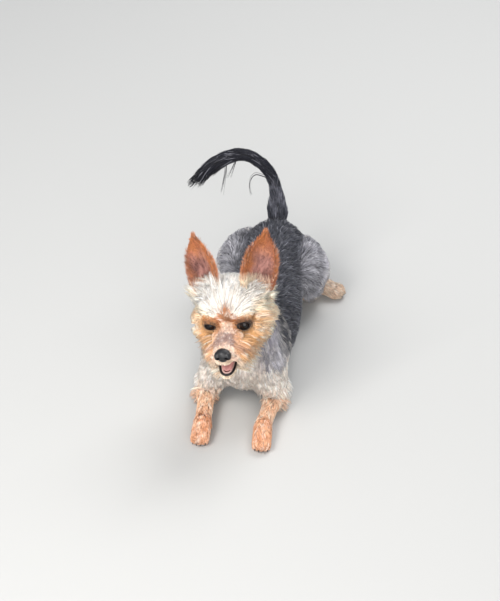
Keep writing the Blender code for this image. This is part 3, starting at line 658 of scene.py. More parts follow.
SKIN, FORM_TREE, FORM_NAMES = build_skin()
SKIN_CORNERS, SKIN_TRIANGLES, SKIN_NORMALS, SKIN_AREAS = read_mesh(SKIN.data)
SKIN_CENTRES = SKIN_CORNERS[SKIN_TRIANGLES].mean(1)
SKIN_TREE = BVHTree.FromPolygons(SKIN_CORNERS.tolist(), SKIN_TRIANGLES.tolist())
SKIN_FORMS = form_of(SKIN_CENTRES)


# Markings with some painted shade, shared by the skin and the coat

def head_colour(p):
    q = to_head(p)
    x, y, z = np.abs(q[:, 0]), q[:, 1], q[:, 2]
    wave = ripple(p, 0.014, 3)
    front = fall(y, 0.008, 0.016)
    # gold cheeks that pale to the sides, and a white fan up from the brow
    colour = mix(GOLD, LIGHT_TAN, ramp(x + 0.003 * wave, 0.024, 0.038))
    colour = mix(colour, LIGHT_TAN, ramp(y + 0.003 * wave, 0.016, 0.034))
    brow = ramp(z + 0.0015 * wave, 0.004, 0.012)
    colour = mix(colour, LIGHT_TAN, brow)
    fan = 0.007 + 0.6 * np.maximum(z - 0.006, 0)
    colour = mix(colour, WHITE, brow * fall(x + 0.002 * wave, fan, fan + 0.01))
    # the orange arch over the stop and eyes, darkest in the middle
    chevron = ramp(0.0154 - 0.78 * x - z + 0.0006 * wave, -0.002, 0.0) * ramp(z, 0.0005, 0.004)
    chevron *= fall(x, 0.011, 0.015)
    over_eye = fall(np.abs(z - 0.0058), 0.0008, 0.0028) * ramp(x, 0.008, 0.012)
    over_eye *= fall(x + 0.002 * wave, 0.02, 0.028)
    colour = mix(colour, ORANGE * 0.88, front * np.maximum(chevron, 0.7 * over_eye))
    apex = np.hypot(q[:, 0] - 0.0015, 0.7 * (z - 0.0085))
    colour = mix(colour, BROWN, front * fall(apex, 0.001, 0.0056) * 0.78)
    # the peach muzzle, a pale wedge up between the eyes and a grey patch on the bridge
    colour = mix(colour, PEACH, fall(y, -0.01, -0.002) * fall(x + 0.001 * wave, 0.01, 0.016))
    wedge = 0.0032 + 0.35 * np.maximum(-z, 0)
    colour = mix(colour, PALE_PINK, fall(x, wedge, wedge + 0.003) * fall(z, 0.0, 0.0045) * front)
    corner = fall(np.abs(x - 0.0088), 0.0012, 0.004) * fall(np.abs(z - 0.001), 0.003, 0.0075)
    colour = mix(colour, ORANGE * 0.9, corner * front * 0.65)
    patch = np.sqrt((x / 0.012) ** 2 + ((y + 0.0225) / 0.01) ** 2) + 0.25 * ripple(p, 0.007, 4)
    patch -= 0.15 * ramp(x, 0.002, 0.007)
    colour = mix(colour, MAUVE, fall(patch, 0.35, 1.05) * ramp(z, -0.019, -0.011) * 0.8)
    colour = mix(colour, LIGHT_TAN, fall(z, -0.03, -0.018) * 0.8)
    # dark lids, and grey at the back of the skull
    reach = lid_reach(p)
    over = 0.3 + 0.45 * ramp(z, -0.001, 0.004)
    colour = mix(colour, BROWN, fall(reach, 1.25, 1.8) * over)
    colour = mix(colour, EYE_RING, fall(reach, LID_EDGE, 1.3))
    return mix(colour, STEEL_LIGHT, ramp(y - 0.44 * z + 0.004 * wave, 0.037, 0.049) * 0.7)


def haunch(p):
    """How much a place belongs to the silvery flank and thigh, from 0 to 1."""
    wave, fine = ripple(p, 0.026, 10), ripple(p, 0.009, 11)
    side = ramp(np.abs(p[:, 0] - 0.5 * PELVIS_SHIFT) + 0.005 * wave + 0.002 * fine, 0.022, 0.044)
    return side * ramp(p[:, 1] + 0.01 * wave, 0.03, 0.084)


def torso_colour(p):
    y, z = p[:, 1], p[:, 2]
    wave, fine = ripple(p, 0.03, 5), ripple(p, 0.01, 6)
    colour = mix(STEEL, STEEL_LIGHT, np.clip(0.12 + 0.16 * fine + 0.1 * wave, 0, 1))
    colour = mix(colour, SILVER, fall(z + 0.008 * wave, 0.014, 0.05) * 0.6)
    colour = mix(colour, SILVER, haunch(p) * (0.64 + 0.32 * fine))
    colour = mix(colour, CREAM, fall(y + 0.004 * wave, -0.086, -0.066) * fall(z, 0.072, 0.1))
    return mix(colour, SILVER, ramp(y + 0.006 * wave, 0.118, 0.14) * 0.45)


def neck_colour(p):
    x, y, z = p.T
    wave = ripple(p, 0.016, 7)
    # blue-grey at the sides, much stronger on the dog's left as painted shadow below the head
    side = ramp(np.abs(x + 0.004) + 0.003 * wave, 0.012, 0.026)
    colour = mix(CREAM, BLUE_GREY_AND_SHADOW, side * np.where(x > 0, 0.86, 0.28))
    colour = mix(colour, LIGHT_TAN, ramp(z, 0.1, 0.118) * (1 - side) * 0.6)
    colour = mix(colour, SILVER, ramp(x + 0.002 * wave, 0.022, 0.032) * 0.75)
    slant = 0.3 * (z - 0.07) * fall(x, 0.01, 0.024)
    return mix(colour, STEEL, ramp(y + slant + 0.004 * wave, -0.078, -0.061))


def arm_colour(p):
    x, y, z = p.T
    wave = ripple(p, 0.012, 8)
    colour = mix(CREAM, STEEL_LIGHT, np.clip(0.02 + 0.4 * wave, 0, 1) * 0.6)
    # blue-grey at the top of the arm, partly the coat's colour and partly painted shadow below the head;
    # silver further out on the left
    shoulder = mix(BLUE_GREY_AND_SHADOW, SILVER, ramp(x, 0.024, 0.036))
    colour = mix(colour, shoulder, ramp(z + 0.006 * wave, 0.062, 0.086) * 0.8)
    colour = mix(colour, CREAM, fall(z + 0.004 * wave, 0.024, 0.04))
    low = fall(z + 0.006 * wave, 0.02, 0.046)
    return mix(colour, TAN, low * fall(y + 0.003 * wave, -0.09, -0.076) * 0.8)


def forearm_colour(p):
    wave = ripple(p, 0.012, 9)
    colour = mix(PAW_TAN, TAN, ramp(p[:, 1] + 0.004 * wave, -0.122, -0.104))
    return mix(colour, CREAM, ramp(p[:, 1] + 0.006 * wave, -0.09, -0.068))


def thigh_colour(p):
    wave = ripple(p, 0.012, 23)
    light = ramp(p[:, 1], 0.06, 0.1) * np.clip(0.28 + 0.5 * wave, 0, 1)
    colour = mix(torso_colour(p), SILVER, light)
    return mix(colour, LEG_CREAM, fall(p[:, 2] + 0.004 * wave, 0.016, 0.036))


def tail_colour(p):
    streak = np.clip(0.35 + 0.6 * ripple(p * np.array((1.0, 1.0, 0.3)), 0.006, 12), 0, 1)
    root = mix(STEEL, STEEL_LIGHT, streak)
    return mix(root, TAIL_BLACK, ramp(p[:, 2] + 0.01 * ripple(p, 0.014, 22), 0.104, 0.146))


def mottled(first, second, share, contrast, wavelength, seed):
    """A rule that blends two colours in soft patches."""
    return lambda p: mix(first, second, np.clip(share + contrast * ripple(p, wavelength, seed), 0, 1))


def ear_share(q):
    """How far up the ear points in its own frame lie, from 0 to 1."""
    return np.clip(q[:, 2] / EAR_HEIGHT, 0, 1)


def ear_colour(p, s):
    """Rust outside and along the rim, pinkish inside streaked with painted shade in the cup, and pale at
    the inner foot.
    """
    q = in_frame(p, ear_frame(s))
    t = ear_share(q)
    levels = np.linspace(0, 1, 33)
    half = np.array([ear_half_width(level) for level in levels])
    across = np.abs(q[:, 0]) / np.maximum(np.interp(t, levels, half), 1e-4)
    inside = q[:, 1] < ear_cup(t) * (1 - across**2) + 0.0001
    ragged = across + 0.1 * ripple(p, 0.01, 13) + 0.18 * s * np.sign(q[:, 0]) * -1
    middle = inside * fall(ragged, 0.3, 0.85) * fall(t, 0.5, 0.8)
    streak = 0.5 + 0.7 * ripple(q * np.array((1.0, 1.0, 0.18)), 0.0045, 18)
    # streaks of painted shade in the cup, deeper in the right ear
    inner = mix(EAR_PINK, EAR_CUP_PAINTED_SHADE, np.clip(streak, 0, 1) * (0.65 if s > 0 else 0.9))
    colour = mottled(RUST, ORANGE, 0.4, 0.5, 0.014, 14)(p)
    dark = np.clip(ripple(q * np.array((1.0, 1.0, 0.2)), 0.005, 20), 0, 1)
    colour = mix(mix(colour, colour * 0.62, dark * 0.7), inner, middle)
    foot = fall(t + 0.03 * ripple(p, 0.008, 19), 0.1, 0.3) * ramp(-s * q[:, 0], -0.004, 0.006)
    return mix(colour, LIGHT_TAN, foot * 0.85)


MARKINGS_AND_SHADE = {
    "head": head_colour,
    "jaw": head_colour,
    "torso": torso_colour,
    "neck": neck_colour,
    "tail": tail_colour,
    "arm": arm_colour,
    "forearm": forearm_colour,
    "forepaw": mottled(PAW_TAN, TAN, 0.3, 0.4, 0.01, 15),
    "thigh": thigh_colour,
    "shank": mottled(LEG_CREAM, TAN, 0.2, 0.3, 0.012, 16),
    "hindpaw": mottled(LEG_CREAM, TAN, 0.15, 0.3, 0.012, 17),
    "ear_left": lambda p: ear_colour(p, 1.0),
    "ear_right": lambda p: ear_colour(p, -1.0),
}


def markings_and_shade(points, forms):
    """The coat's colour at each point of the named forms, with its painted shade."""
    colours = np.zeros((len(points), 3))
    for name in np.unique(forms):
        chosen = forms == name
        rule = MARKINGS_AND_SHADE.get(name) or MARKINGS_AND_SHADE[name.rsplit("_", 1)[0]]
        colours[chosen] = rule(points[chosen])
    return colours


# Materials

def new_material(name, **inputs):
    """A material with its shader's inputs set, each named with _ for a space."""
    made = bpy.data.materials.new(name)
    made.use_nodes = True
    shader = made.node_tree.nodes["Principled BSDF"]
    for key, value in inputs.items():
        shader.inputs[key.replace("_", " ")].default_value = value
    return made


def add_texture(made, kind, scale):
    """A texture over the object's own coordinates."""
    nodes, links = made.node_tree.nodes, made.node_tree.links
    texture = nodes.new(kind)
    texture.inputs["Scale"].default_value = scale
    links.new(nodes.new("ShaderNodeTexCoord").outputs["Object"], texture.inputs["Vector"])
    return texture


def add_bump(made, height, strength, depth):
    """Bump that follows a texture's output."""
    nodes, links = made.node_tree.nodes, made.node_tree.links
    bump = nodes.new("ShaderNodeBump")
    bump.inputs["Strength"].default_value = strength
    bump.inputs["Distance"].default_value = depth
    links.new(height, bump.inputs["Height"])
    links.new(bump.outputs["Normal"], nodes["Principled BSDF"].inputs["Normal"])


def painted_material(name, roughness, sheen, shine=0.22):
    """Hair, skin or an eye, with its colour from the painted markings and painted shade."""
    made = new_material(
        name, Roughness=roughness, Specular_IOR_Level=shine, Sheen_Weight=sheen, Sheen_Roughness=0.5
    )
    nodes, links = made.node_tree.nodes, made.node_tree.links
    colour = nodes.new("ShaderNodeVertexColor")
    colour.layer_name = "markings_and_shade"
    links.new(colour.outputs["Color"], nodes["Principled BSDF"].inputs["Base Color"])
    return made


def skin_material():
    """The skin's markings and painted shade, with a fine grain like short flat hair."""
    made = painted_material("skin", 0.75, 0.2)
    noise = add_texture(made, "ShaderNodeTexNoise", 900)
    noise.inputs["Detail"].default_value = 4
    add_bump(made, noise.outputs["Fac"], 0.5, 0.0006)
    return made


def wet_material(name, colour, roughness, grain=0.0, depth=0.0, coat_weight=0.0, shine=0.5):
    """Moist skin or horn, as on the nose, lips, tongue and claws, pebbled where a grain is given."""
    made = new_material(name, Roughness=roughness, Coat_Weight=coat_weight, Specular_IOR_Level=shine)
    nodes, links = made.node_tree.nodes, made.node_tree.links
    tint = add_texture(made, "ShaderNodeTexNoise", 220)
    shades = nodes.new("ShaderNodeValToRGB")
    shades.color_ramp.elements[0].color = (*(colour * 0.7), 1)
    shades.color_ramp.elements[1].color = (*np.clip(colour * 1.3, 0, 1), 1)
    links.new(tint.outputs["Fac"], shades.inputs["Fac"])
    links.new(shades.outputs["Color"], nodes["Principled BSDF"].inputs["Base Color"])
    if grain:
        pebbles = add_texture(made, "ShaderNodeTexVoronoi", grain)
        add_bump(made, pebbles.outputs["Distance"], 0.6, depth)
    return made


def give(obj, made):
    """Sets the piece's material and smooth shading, and lets it ride with the dog."""
    obj.data.materials.clear()
    obj.data.materials.append(made)
    obj.data.shade_smooth()
    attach(obj, "root")


def paint(mesh, colours):
    layer = mesh.color_attributes.new("markings_and_shade", "FLOAT_COLOR", "POINT")
    values = np.ones((len(mesh.vertices), 4), np.float32)
    values[:, :3] = np.clip(colours, 0, 1)
    layer.data.foreach_set("color", values.ravel())


def in_mouth(points):
    """How far inside the open mouth each point lies, from 0 to 1."""
    q = to_head(points)
    level = -0.0305 + 0.42 * q[:, 1]
    wide = fall(np.abs(q[:, 0] - MOUTH_SHIFT), 0.0085, 0.011)
    return wide * fall(np.abs(q[:, 2] - level), 0.003, 0.0045) * (q[:, 1] > -0.032)


def dress_skin():
    forms = form_of(SKIN_CORNERS)
    # painted shade: the skin under the coat is darkened, a little less on the ears
    shade = np.where(np.char.startswith(forms, "ear"), EAR_SKIN_PAINTED_SHADE, SKIN_PAINTED_SHADE)
    colours = markings_and_shade(SKIN_CORNERS, forms) * shade[:, None]
    # the skin inside the open mouth is painted dark red, its flesh darkened as painted shade
    paint(SKIN.data, mix(colours, MOUTH_IN_SHADE, in_mouth(SKIN_CORNERS)))
    flesh = [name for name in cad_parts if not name.startswith(("eye", "nose", "tongue"))]
    give(SKIN, skin_material())
    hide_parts(*flesh)


dress_skin()


# The coat's engine

BAKE_PATCH = 0.003  # how wide a tuft is on the baked picture, as a share of it
ROOT_SHADE_TO_TIP_LIGHT = (0.74, 1.0, 1.18)  # painted shade at a tuft's root and painted light at its tip: its brightness at root, middle and tip
BRIGHTNESS_SPREAD = 0.15
CLUMP_SPREAD = 0.15
ROOT_DEPTH = 0.0006  # how deep in the skin a tuft starts
TUFT_LOW = FLOOR_CLEARANCE + 0.0006  # the lowest a tuft lies, before and after clumping
CLUMP_LOW = FLOOR_CLEARANCE + 0.0004
TAPER = {2: (0.9, 0.75), 3: (0.8, 1.0, 0.6), 4: (0.75, 1.0, 0.8, 0.45)}
MATERIALS = {
    "soft": painted_material("coat_soft", 0.7, 0.2),
    "short": painted_material("coat_short", 0.62, 0.1),
    "gloss": painted_material("coat_gloss", 0.42, 0.05),
}
COUNT_SHARE = 1.0
DOWN = np.array((0, 0, -1.0))


def unwrap_skin():
    """A light copy of the skin, unwrapped, to give every tuft its place on the baked picture."""
    copy = modify(linked("unwrap", SKIN.data.copy()), "DECIMATE", ratio=0.08)
    bpy.context.view_layer.objects.active = copy
    bpy.ops.object.select_all(action="DESELECT")
    copy.select_set(True)
    bpy.ops.object.mode_set(mode="EDIT")
    bpy.ops.mesh.select_all(action="SELECT")
    bpy.ops.uv.smart_project(angle_limit=math.radians(66), island_margin=0.004)
    bpy.ops.object.mode_set(mode="OBJECT")
    corners, triangles, _, _ = read_mesh(copy.data)
    places = np.empty(len(copy.data.loops) * 2)
    copy.data.uv_layers.active.data.foreach_get("uv", places)
    bpy.data.objects.remove(copy)
    tree = BVHTree.FromPolygons(corners.tolist(), triangles.tolist())
    return corners, triangles, places.reshape(-1, 3, 2), tree


UNWRAP_CORNERS, UNWRAP_TRIANGLES, UNWRAP_PLACES, UNWRAP_TREE = unwrap_skin()


def unwrapped(points):
    """Each point's place on the unwrapped skin."""
    hits = [UNWRAP_TREE.find_nearest(point) for point in points]
    near = np.array([hit[0] for hit in hits])
    face = np.array([hit[2] for hit in hits])
    a, b, c = (UNWRAP_CORNERS[UNWRAP_TRIANGLES[face, k]] for k in range(3))
    normal = np.cross(b - a, c - a)
    size = np.maximum((normal**2).sum(1), 1e-24)
    u = (np.cross(c - b, near - b) * normal).sum(1) / size
    v = (np.cross(a - c, near - c) * normal).sum(1) / size
    shares = np.clip(np.stack([u, v, 1 - u - v], 1), 0, 1)
    return (shares[:, :, None] * UNWRAP_PLACES[face]).sum(1)


def set_bake_map(mesh, places):
    """Gives each corner of the mesh its place on the baked picture."""
    corners = np.empty(len(mesh.loops), np.int32)
    mesh.loops.foreach_get("vertex_index", corners)
    layer = mesh.uv_layers.new(name="OFBake")
    layer.data.foreach_set("uv", places[corners].astype(np.float32).ravel())


def project(points):
    """The nearest place on the skin, and its normal."""
    near, normals = np.empty_like(points), np.empty_like(points)
    for i, point in enumerate(points):
        near[i], normals[i], _, _ = SKIN_TREE.find_nearest(point)
    return near, normals


def sow(count, density, rng):
    """Root places on the skin, spread by area and by the density given for each triangle."""
    weights = SKIN_AREAS * density
    chosen = rng.choice(len(weights), size=count, p=weights / weights.sum())
    u, v = rng.random(count), rng.random(count)
    over = u + v > 1
    u[over], v[over] = 1 - u[over], 1 - v[over]
    a, b, c = (SKIN_CORNERS[SKIN_TRIANGLES[chosen, k]] for k in range(3))
    return a + (b - a) * u[:, None] + (c - a) * v[:, None], SKIN_NORMALS[chosen], SKIN_FORMS[chosen]


def turned(rows, axes, angles):
    """Vectors turned about axes that are about square to them."""
    return rows * np.cos(angles)[:, None] + np.cross(axes, rows) * np.sin(angles)[:, None]


def grow(roots, normals, lie, size, rings, rng):
    """The tufts' middle lines, which follow the lie over the skin, or keep their own way where free."""
    step = size["length"] / rings
    free = size["free"]
    bend = rng.normal(0, size["curl"], len(roots)) + 0.6 * size["curl"] * ripple(roots, 0.012, 21)
    line, sides = [roots - normals * ROOT_DEPTH], []
    place, near, normal, heading = roots, roots, normals, None
    for i in range(1, rings + 1):
        t = i / rings
        flow = unit(lie(near, normal))
        outward = (flow * normal).sum(1)
        flow = unit(flow - normal * (outward * np.where(outward < 0, 1, 1 - free))[:, None])
        flow = turned(flow, normal, bend * (0.4 + t))
        if heading is None:
            heading = unit(flow + normal * size["lift"][:, None])
        else:
            heading = unit(mix(flow, heading, free))
        heading = unit(heading + DOWN * (size["droop"] * t)[:, None])
        place = place + heading * step[:, None]
        near, normal = project(place)
        height = ((place - near) * normal).sum(1)
        wanted = size["rise"] * min(1.0, 1.25 * t) ** 0.75
        kept = np.where(free > 0, np.maximum(height, 0.4 * wanted), wanted)
        place = place + normal * (wanted * (1 - free) + kept * free - height)[:, None]
        place[:, 2] = np.maximum(place[:, 2], TUFT_LOW)
        line.append(place)
        sides.append(unit(np.cross(heading, normal) + 1e-9))
    return np.stack(line, 1), np.stack([sides[0], *sides], 1)


def clumped(lines, roots, share, rng):
    """Draws the tufts' tips together towards those of a few guides."""
    guides = rng.choice(len(roots), max(1, int(len(roots) * share)), replace=False)
    tree = KDTree(len(guides))
    for k, guide in enumerate(guides):
        tree.insert(roots[guide], k)
    tree.balance()
    nearest = guides[[tree.find(root)[1] for root in roots]]
    t = np.linspace(0, 1, lines.shape[1])[None, :, None]
    pull = rng.uniform(0.35, 0.95, len(roots))[:, None, None] * t**1.4
    offset = (roots - roots[nearest])[:, None, :] * (1 - CLUMP_SPREAD)
    target = lines[nearest] + offset * (1 - 0.75 * t)
    return lines * (1 - pull) + target * pull


def blades(name, lines, sides, widths, colours, places):
    """One mesh of three-sided tapered blades along the lines, closed at root and tip."""
    count, rings = lines.shape[0], lines.shape[1] - 1
    ahead = unit(np.diff(lines, axis=1))
    top = unit(np.cross(sides[:, :rings], ahead))
    half = (widths[:, None] * np.array(TAPER[rings])[None, :] / 2)[..., None]
    body = lines[:, :rings]
    left = body - sides[:, :rings] * half
    right = body + sides[:, :rings] * half
    ridge = body + top * half * 0.9
    corners = np.concatenate([np.stack([left, ridge, right], 2).reshape(count, -1, 3), lines[:, -1:]], 1)
    per = corners.shape[1]
    pattern = [(0, 2, 1)]
    for ring in range(rings - 1):
        for k in range(3):
            a, b = 3 * ring + k, 3 * ring + (k + 1) % 3
            pattern += [(a, b, b + 3), (a, b + 3, a + 3)]
    end = 3 * (rings - 1)
    pattern += [(end + k, end + (k + 1) % 3, per - 1) for k in range(3)]
    faces = (np.array(pattern)[None] + (np.arange(count) * per)[:, None, None]).reshape(-1, 3)
    mesh = bpy.data.meshes.new(name)
    mesh.vertices.add(count * per)
    mesh.vertices.foreach_set("co", corners.astype(np.float32).ravel())
    mesh.loops.add(faces.size)
    mesh.loops.foreach_set("vertex_index", faces.astype(np.int32).ravel())
    mesh.polygons.add(len(faces))
    mesh.polygons.foreach_set("loop_start", np.arange(0, faces.size, 3, dtype=np.int32))
    mesh.update(calc_edges=True)
    t = np.append(np.repeat(np.arange(rings) / rings, 3), 1.0)
    # painted shade towards each tuft's root and painted light towards its tip
    shade = np.interp(t, [0, 0.35, 1], ROOT_SHADE_TO_TIP_LIGHT)
    paint(mesh, (colours[:, None, :] * shade[None, :, None]).reshape(-1, 3))
    across = np.append(np.tile([0.0, 0.5, 1.0], rings), 0.5)
    patch = BAKE_PATCH * np.stack([across - 0.5, t - 0.5], 1)
    set_bake_map(mesh, np.clip(places[:, None, :] + patch[None], 0, 1).reshape(-1, 2))
    return linked(name, mesh)


def coat(name, slot, material, count, density, lie, size, seed, rings=3, clump=0.0, tint=None):
    """One piece of coat: tufts sown by density, grown along the lie in the sizes given."""
    rng = np.random.default_rng(seed)
    roots, normals, forms = sow(int(count * COUNT_SHARE), density, rng)
    sizes = size(roots, normals)
    sizes["length"] = sizes["length"] * rng.uniform(0.75, 1.2, len(roots))
    sizes["rise"] = sizes["rise"] * rng.uniform(0.6, 1.2, len(roots))
    lines, sides = grow(roots, normals, lie, sizes, rings, rng)
    if clump:
        lines = clumped(lines, roots, clump, rng)
        lines[:, 1:, 2] = np.maximum(lines[:, 1:, 2], CLUMP_LOW)
    colours = markings_and_shade(roots, forms)
    if tint is not None:
        colours = tint(roots, colours, rng)
    colours = colours * np.exp(rng.normal(0, BRIGHTNESS_SPREAD, len(roots)))[:, None]
    widths = sizes["width"] * rng.uniform(0.75, 1.25, len(roots))
    obj = blades("coat_" + name, lines, sides, widths, colours, unwrapped(roots))
    give(obj, MATERIALS[material])


def sizes_of(count, length, width, rise, free=0.0, droop=0.0, curl=0.15, lift=0.25):
    """The tufts' sizes, each a number or one for every root."""
    given = dict(length=length, width=width, rise=rise, free=free, droop=droop, curl=curl, lift=lift)
    return {key: np.full(count, value, float) for key, value in given.items()}


def even(*given):
    """One size for a whole piece of coat."""
    return lambda p, _normal: sizes_of(len(p), *given)


def streaked(light_share, dark_share):
    """A tint of lighter and darker locks side by side."""

    def tint(p, colours, rng):
        wave = ripple(p, 0.0048, 33) + rng.normal(0, 0.25, len(p))
        colours = mix(colours, WHITE, light_share * ramp(wave, 0.1, 0.9))
        return mix(colours, colours**1.25 * 0.62, dark_share * ramp(-wave, 0.1, 0.9))

    return tint


def grizzled(light_share, dark_share):
    """A tint of light and dark hairs mixed into the coat."""

    def tint(p, colours, rng):
        draw = rng.random(len(p))
        light = draw < light_share * (0.4 + 1.2 * (0.5 + 0.5 * ripple(p, 0.012, 31)))
        dark = draw > 1 - dark_share
        colours = np.where(light[:, None], colours * 0.45 + GRIZZLE * 0.55, colours)
        return np.where(dark[:, None], colours * 0.45, colours)

    return tint


def on(*names):
    """Which skin triangles belong to forms whose names start so."""
    return np.any([np.char.startswith(SKIN_FORMS, name) for name in names], axis=0)


# The coat of the head

FACE_FOCUS = np.array((0, -0.024, -0.002))
STOP = np.array((0, -0.008, 0.0005))
FACE_HAIR = 0.0007  # the width of a tuft


def eye_distance(q):
    return np.min([np.linalg.norm(q - np.array(eye_place(s)), axis=1) for s in SIDES.values()], axis=0)


def crown_lie(p, _normal):
    """Up and back from the stop in the middle, and out to the sides below the ears."""
    q = to_head(p)
    side = ramp(np.abs(q[:, 0]), 0.008, 0.024)
    away = unit(q - STOP)
    away[:, 0] *= 1.5 + 0.6 * side
    away[:, 1] += 0.25
    away[:, 2] = away[:, 2] * (1 - 0.6 * side) - 0.12 * side - 0.6 * ramp(q[:, 1], 0.022, 0.045)
    return from_head(away)


def cheek_lie(p, _normal):
    """Outward and back beside the eyes, and more downward below them."""
    q = to_head(p)
    away = unit(q - FACE_FOCUS)
    away[:, 0] *= 1.3
    away[:, 2] -= 0.25 + 0.75 * fall(q[:, 2], -0.02, 0.002)
    return from_head(away)


def beard_lie(p, _normal):
    """Out, down and a little back from the lips and the corners of the mouth."""
    q = to_head(p)
    ahead = fall(q[:, 1], -0.024, -0.006)
    return from_head(vectors((0.95 - 0.45 * ahead) * np.sign(q[:, 0]), 0.25, -0.42 - 0.3 * ahead))


def muzzle_lie(p, _normal):
    """Back and up along the bridge to the stop, and out, back and down on the lips."""
    q = to_head(p)
    side = ramp(np.abs(q[:, 0]), 0.004, 0.01) * fall(q[:, 2], -0.006, 0.0)
    return from_head(vectors(0.75 * np.sign(q[:, 0]) * side, 1.0 - 0.82 * side, 0.35 - 1.0 * side))


def lid_lie(p, _normal):
    """Away from the opening of the lids, and back."""
    q = to_head(p)
    centre = np.where(q[:, :1] > 0, np.array(eye_place(1.0)), np.array(eye_place(-1.0)))
    return from_head(unit(q - centre) + np.array((0, 0.5, 0.0)))


def jaw_lie(p, _normal):
    return from_head(np.array((0.0, 0.55, -0.8)) + to_head(p) * np.array((25.0, 0, 0)))


def crown_size(p, _normal):
    q = to_head(p)
    middle = fall(np.abs(q[:, 0]), 0.004, 0.014)
    brow = fall(q[:, 2] - 0.003 * middle, 0.0095, 0.015)
    back = ramp(q[:, 1], 0.026, 0.048)
    length = 0.03 - 0.025 * brow - 0.009 * back
    rise = 0.0058 - 0.0046 * brow - 0.0012 * back
    return sizes_of(len(p), length, FACE_HAIR, rise, 0.25, 0.04, 0.08, 0.2)


def cheek_size(p, _normal):
    q = to_head(p)
    near = fall(eye_distance(q), 0.0105, 0.018)
    low = fall(q[:, 2], -0.022, -0.006)
    right = ramp(-q[:, 0], 0.01, 0.025) * (1 - near)
    length = 0.019 - 0.014 * near + 0.0015 * low * (1 - near) - 0.007 * right
    rise = 0.006 - 0.005 * near - 0.0026 * low * (1 - near) - 0.0046 * right
    free = (0.4 - 0.25 * right) * (1 - near)
    return sizes_of(len(p), length, FACE_HAIR, rise, free, 0.18 * (1 - near), 0.12, 0.3)


def temple_size(p, _normal):
    right = ramp(-to_head(p)[:, 0], 0.008, 0.02)
    return sizes_of(len(p), 0.024 - 0.009 * right, FACE_HAIR, 0.008 - 0.005 * right, 0.6, 0.14, 0.12, 0.5)


def beard_size(p, _normal):
    q = to_head(p)
    side = ramp(np.abs(q[:, 0]), 0.013, 0.027)
    right = ramp(-q[:, 0], 0.004, 0.012)
    ahead = fall(q[:, 1], -0.026, -0.01)
    length = 0.0225 - (0.012 + 0.002 * right) * side - 0.007 * ahead * (1 - side)
    return sizes_of(len(p), length, FACE_HAIR, 0.003, 0.92, 0.14, 0.14, 0.38)


def muzzle_size(p, _normal):
    q = to_head(p)
    top = ramp(q[:, 2], -0.015, -0.009) * (1 - 0.35 * ramp(np.abs(q[:, 0]), 0.008, 0.013))
    ahead = fall(q[:, 1], -0.033, -0.014)
    length = 0.02 - 0.016 * top - 0.0125 * ahead * (1 - top)
    rise = 0.0042 - 0.0036 * top - 0.0026 * ahead * (1 - top)
    free = 0.9 * (1 - top) * (1 - 0.5 * ahead)
    return sizes_of(len(p), length, 0.0006, rise, free, 0.08, 0.1, 0.15 + 0.35 * free)


def head_masks():
    """The skin's triangles that each of the head's coats grows on."""
    q = to_head(SKIN_CENTRES)
    x, y, z = np.abs(q[:, 0]), q[:, 1], q[:, 2]
    head, jaw = on("head"), on("jaw")
    from_eye, mouth = eye_distance(q), in_mouth(SKIN_CENTRES)
    bare = (from_eye < EYE_RADIUS + 0.0008) | (mouth > 0.3)
    bare |= (lid_reach(SKIN_CENTRES) < LID_EDGE) & (from_eye < 0.0105)
    lids = head & (from_eye < 0.0108) & ~bare
    bridge_of_nose = (x < 0.0105) & (z < 0.006) & (y < 0.012)
    muzzle = head & ((y < -0.005) | bridge_of_nose) & ~bare & ~lids
    crown = head & (z > 0.005) & ~lids & ~muzzle & ~bare
    lip = head & (x > 0.0085) & (z < -0.01) & (y < 0.016) & (y > -0.028) & ~bare
    return {
        "crown": crown,
        "temples": head & (x > 0.015) & (z > -0.003) & (z < 0.026) & (y > 0.006) & (y < 0.036) & ~lids,
        "cheeks": head & ~crown & ~muzzle & ~lids & ~bare,
        "beard": lip | jaw & (x > 0.006) & (y > -0.02) & (SKIN_NORMALS[:, 2] < 0.3),
        "muzzle": muzzle,
        "lids": lids,
        "chin": jaw & (mouth < 0.3) & (SKIN_NORMALS[:, 2] < 0.45),
    }


HEAD_COATS = {
    # material, count, lie, size, seed, rings, clumping and tint
    "crown": ("soft", 9800, crown_lie, crown_size, 101, 3, 0.05, streaked(0.5, 0.28)),
    "temples": ("soft", 3000, crown_lie, temple_size, 106, 3, 0.1, streaked(0.45, 0.4)),
    "cheeks": ("soft", 9000, cheek_lie, cheek_size, 102, 3, 0.08, streaked(0.6, 0.55)),
    "beard": ("soft", 4600, beard_lie, beard_size, 107, 3, 0.1, streaked(0.6, 0.5)),
    "muzzle": ("soft", 6200, muzzle_lie, muzzle_size, 103, 3, 0.08, streaked(0.36, 0.45)),
    "lids": ("short", 2400, lid_lie, even(0.0036, 0.0005, 0.0006, 0.0, 0.0, 0.2), 104, 2, 0.0, None),
    "chin": ("soft", 2200, jaw_lie, even(0.012, FACE_HAIR, 0.0022, 0.4, 0.1, 0.16), 105, 3, 0.15, None),
}


def build_head_coat():
    masks = head_masks()
    for name, (material, count, *rest) in HEAD_COATS.items():
        coat(name, "face", material, count, masks[name], *rest)


# The coat of the ears

def ear_lie(s, direction):
    """A lie given in the ear's own frame, from how far across and how far up a point lies."""
    turn = np.array(ear_frame(s).to_3x3())

    def lie(p, _normal):
        q = in_frame(p, ear_frame(s))
        return vectors(*direction(q[:, 0], ear_share(q))) @ turn.T

    return lie


def up_and_out(x, _t):
    return 0.9 * (x / EAR_HALF_WIDTH), 0.0, 1.0


def off_the_rim(x, t):
    """Out from the ear's edge, and in to its tip."""
    return np.clip(x / 0.004, -1, 1) * (0.7 - 1.0 * ramp(t, 0.55, 0.95)), 0.0, 1.0


def over_the_cup(x, _t):
    """From the inner foot and edges, up and towards the middle."""
    return -25 * x, -0.25, 1.0


